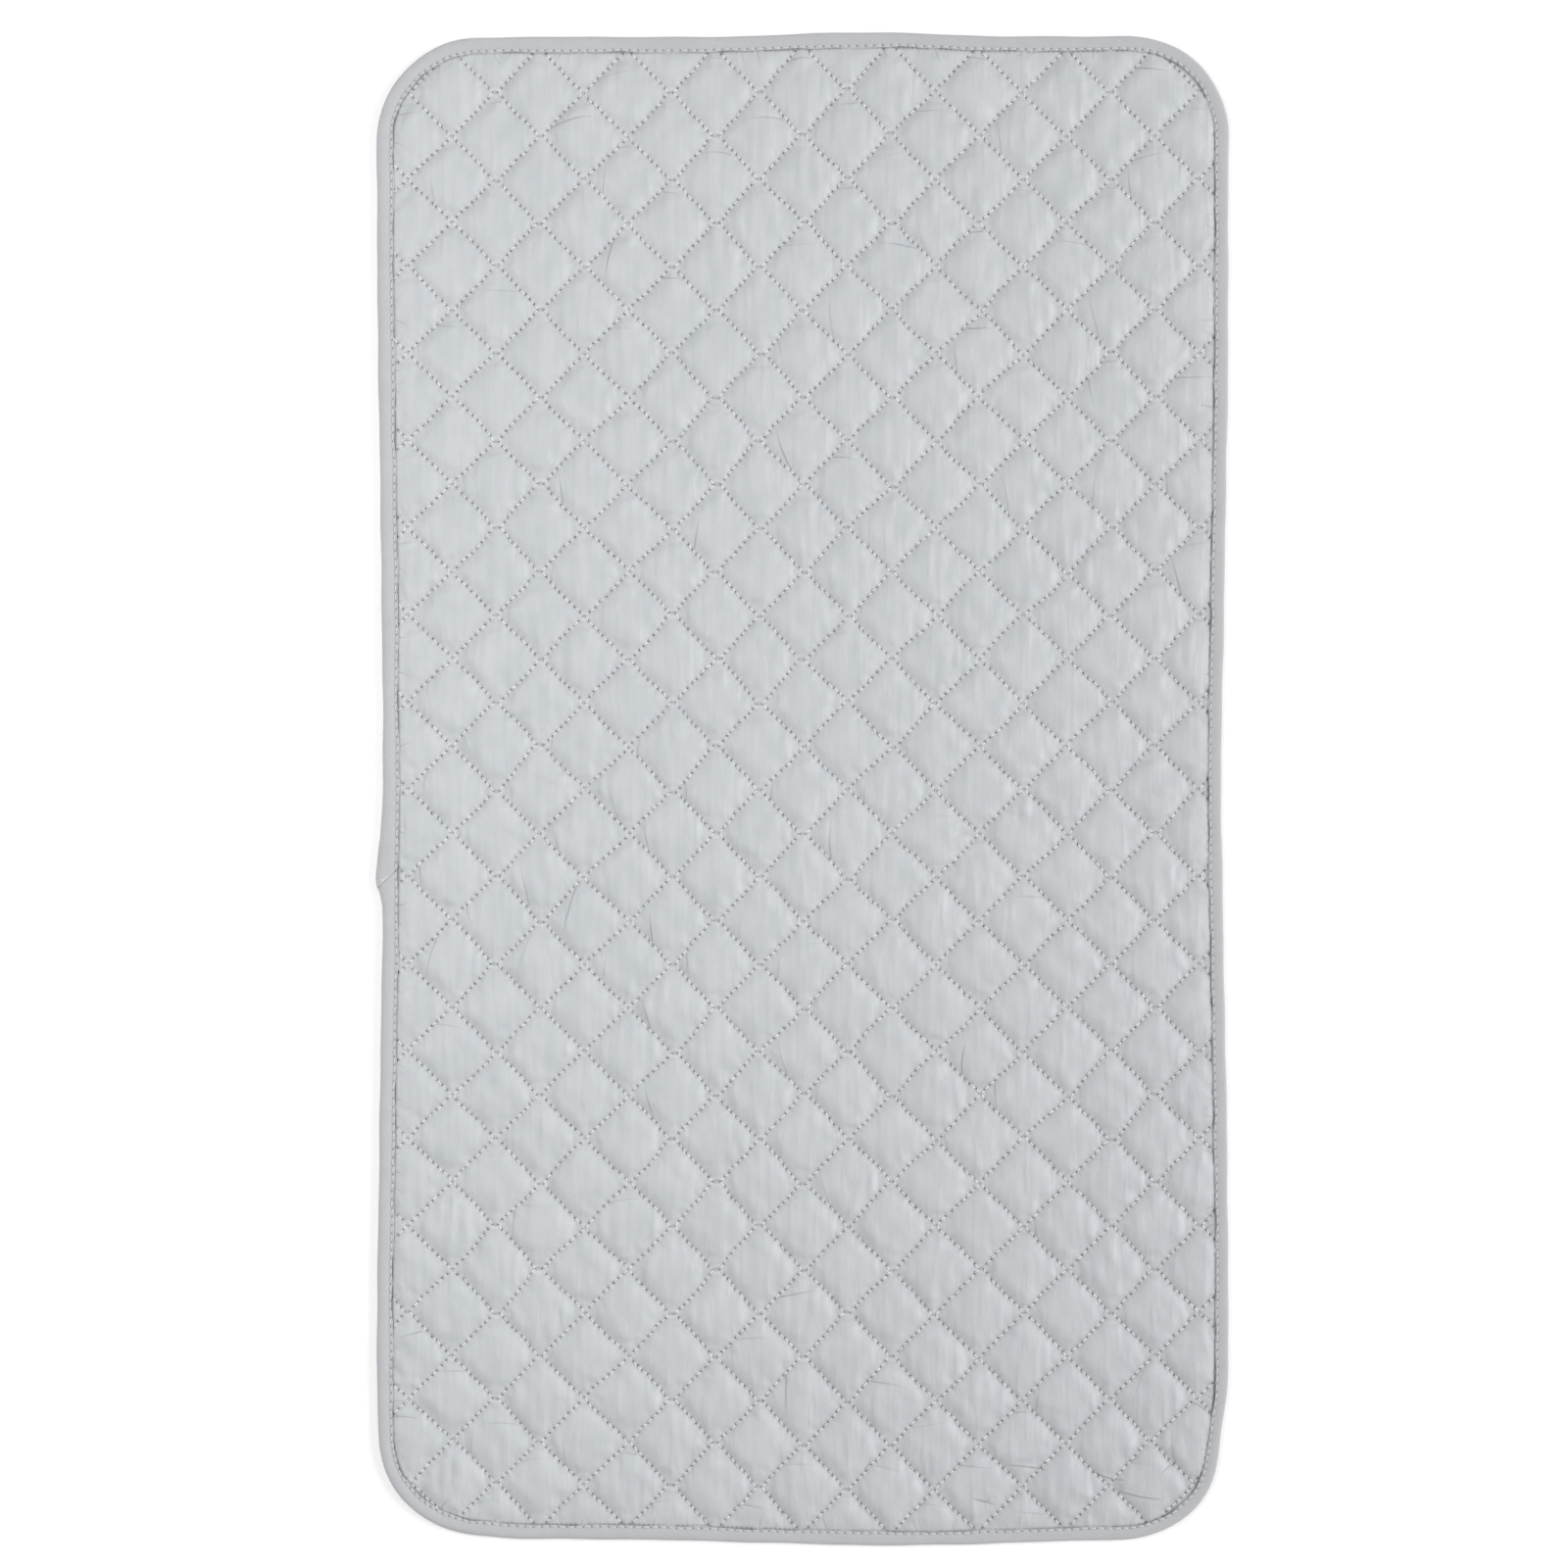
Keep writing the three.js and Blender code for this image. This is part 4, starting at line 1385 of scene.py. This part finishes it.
# %% Loose threads of the lap
FRAY_COUNT = 12
FRAY_RINGS = 8
FRAY_SIDES = 5
FRAY_THICK = 0.24 * MM
FRAY_LIFT = 0.5 * MM
FRAY_TWIST = 0.3 * MM
FRAY_COLUMNS = np.arange(2, 16)


def on_band(row, column):
    """A place on the tape between its points: the mean of the four nearest, weighed by nearness."""
    r, c = np.floor(row).astype(int), np.floor(column).astype(int)
    s, t = (row - r)[..., None], (column - c)[..., None]
    near = band[r, c] * (1 - t) + band[r, c + 1] * t
    far = band[r + 1, c] * (1 - t) + band[r + 1, c + 1] * t
    return near * (1 - s) + far * s


draw = np.random.default_rng(17)
reach = np.linspace(0, 1, FRAY_RINGS)
root = draw.uniform(1.0, 6.0, (FRAY_COUNT, 1))
long = draw.uniform(2.5, 7.0, (FRAY_COUNT, 1))
bent = draw.normal(0, 0.5, (FRAY_COUNT, 1)) * np.sin(np.pi * reach)
inset = np.clip(root - draw.uniform(0.4, 0.8, (FRAY_COUNT, 1)) * long * reach + bent, 0.1, SLANT_INSET)
past_end = 0.85 * long * reach - root * LAP_SLANT / MM / SLANT_INSET
column = np.interp(-inset, -TAPE_SECTION[FRAY_COLUMNS, 0], FRAY_COLUMNS)
fray = on_band(lap_rows[-1] - 1 + past_end / (edge_step / MM), column)
fray[..., 2] += FRAY_LIFT
fray[..., 0] -= draw.uniform(0.1, 0.9, (FRAY_COUNT, 1)) * MM * np.clip(2 - inset, 0, 1)
taper = FRAY_THICK * (1 - 0.5 * reach)[None, :, None]
spin = np.arange(FRAY_SIDES) * 2 * np.pi / FRAY_SIDES
along = np.gradient(fray, axis=1)
across = np.stack([-along[..., 1], along[..., 0], 0 * along[..., 0]], -1)
across /= np.linalg.norm(across, axis=-1, keepdims=True)
hairs = fray[:, :, None, :] + across[:, :, None, :] * (taper * np.cos(spin))[..., None]
hairs[..., 2] += taper * np.sin(spin)
hair_base = (np.arange(FRAY_COUNT) * FRAY_RINGS * FRAY_SIDES)[:, None, None]
hair_faces = (band_faces(FRAY_RINGS, FRAY_SIDES, False) + hair_base).reshape(-1, 4)
fray_piece = make_piece("lap_loose_threads", lie(hairs.reshape(-1, 3)), hair_faces)
add_twist(fray_piece, np.repeat(hair_faces.ravel() * FRAY_TWIST, 2))
place_piece(fray_piece, seam_thread, "binding_tape")
print("loose threads:", FRAY_COUNT)

# %% [markdown]
# ## Seam of the binding
#
# The same stitch tubes, laid along the seam on both sides of the tape. The stitches' heights come
# from the tape's own points at the seam, so they stay on it where it puckers.

# %% Binding seam
lap_raise = np.zeros(len(station))
past_slant = edge[lap_rows, 1] > LAP_END + LAP_SLANT
lap_raise[lap_rows] = LAP_RAISE * np.clip(lap_share * LAP_RISING, 0, 1) * past_slant
for kind, point, up in (("seam", SEAM_POINT, 1), ("bobbin", turned_under(SEAM_POINT), -1)):
    column = int(np.argmin(np.abs(TAPE_SECTION - point).sum(1)))
    seam_line = lie(band[:, column])
    seam_line[:, 2] += lap_raise * (up > 0)
    hole = seam_line[::PER_STITCH]
    middle = seam_line[PER_STITCH // 2 :: PER_STITCH].copy()
    stitches = make_stitches(f"binding_{kind}_stitches", hole, np.roll(hole, -1, 0), middle, up)
    place_piece(stitches, seam_thread, "sewing_thread", f"binding_{kind}_thread")
print("seam:", seam_count, "stitches on each side")

# %% [markdown]
# ## Sheets
#
# The quilting takes up some of the length, so a face is cut a little larger than the finished pad.

# %% [markdown]
# ## Floor and room
#
# The pad lies on a white floor. A lamp strong enough to burn the floor out to white would burn out
# the pad too, so floor and room show themselves white only to the camera and in reflections, and
# light the pad at a plain level.

# %% Floor and room
FLOOR_REACH = 6.0
FLOOR_DROP = 0.2 * MM
FLOOR_GLOW = 0.24
GLOW_FROM = 0.8
GLOW_SLOPE = 0.5
GLOW_LIMIT = 0.7
ROOM_LIGHT = 0.41


class Room(Finish):
    """The world's node tree, handled like a finish."""

    def __init__(self, world):
        world.use_nodes = True
        self.tree = world.node_tree
        self.shader = self.tree.nodes["Background"]


def seen_directly(finish):
    """1 for rays from the camera, from a glossy surface or through glass, otherwise 0."""
    kinds = finish.node("LightPath", {}, {}).socket.node.outputs
    rays = [Amount(finish, kinds[k]) for k in ("Is Camera Ray", "Is Glossy Ray", "Is Transmission Ray")]
    return rays[0].math("MAXIMUM", rays[1]).math("MAXIMUM", rays[2])


floor_points = np.array([[-1, -1, 0], [1, -1, 0], [1, 1, 0], [-1, 1, 0]]) * FLOOR_REACH
floor = make_piece("floor", floor_points - [0, 0, FLOOR_DROP], np.array([[0, 1, 2, 3]]))
matte = {"Base Color": (0.92, 0.92, 0.92, 1), "Roughness": 0.9, "Emission Strength": 1.0}
ground = Finish("floor", matte)
away = ground.node("VectorMath", {"operation": "LENGTH"}, {0: ground.here()}, "Value")
glow = FLOOR_GLOW + ((away - GLOW_FROM) * GLOW_SLOPE).math("MAXIMUM", 0.0).math("MINIMUM", GLOW_LIMIT)
shown = seen_directly(ground) * glow
ground.feed(Emission_Color=ground.blend(shown, (0, 0, 0, 1), (1, 1, 1, 1)))
floor.data.materials.append(ground.material)
world = bpy.data.worlds.new("room")
bpy.context.scene.world = world
room = Room(world)
room.feed(Color=(1, 1, 1, 1), Strength=ROOM_LIGHT + seen_directly(room) * (1 - ROOM_LIGHT))
print("floor", 2 * FLOOR_REACH, "m across, room light", ROOM_LIGHT)

# %% [markdown]
# ## Lamps and camera
#
# The photograph looks straight down, so the camera hangs over the pad with a long lens. A broad lamp
# low on the right draws the relief of the quilting, and a weak one on the left opens its shadows.
# Broad lamps give the soft edges that a cloudy window gives.

# %% Lamps and camera
CAMERA_PLACE = (-0.0102, 0.0025, 2.09)
camera = bpy.data.objects.new("camera", bpy.data.cameras.new("camera"))
bpy.context.scene.collection.objects.link(camera)
bpy.context.scene.camera = camera
camera.data.lens = 85
camera.data.sensor_width = 36
camera.data.clip_end = 30
camera.location = CAMERA_PLACE


def softbox(name, place, size, power):
    """A square lamp of the given size and power that faces the middle of the pad."""
    lamp = bpy.data.objects.new(name, bpy.data.lights.new(name, "AREA"))
    bpy.context.scene.collection.objects.link(lamp)
    lamp.data.size = size
    lamp.data.energy = power
    lamp.location = place
    lamp.rotation_mode = "QUATERNION"
    lamp.rotation_quaternion = lamp.location.to_track_quat("Z", "Y")


softbox("key", (4.0, 0.1, 2.0), size=2.4, power=126)
softbox("fill", (-0.95, 0.23, 1.25), size=0.9, power=9.9)
bpy.context.scene.view_settings.view_transform = "Standard"
print("camera", CAMERA_PLACE[2], "m up")
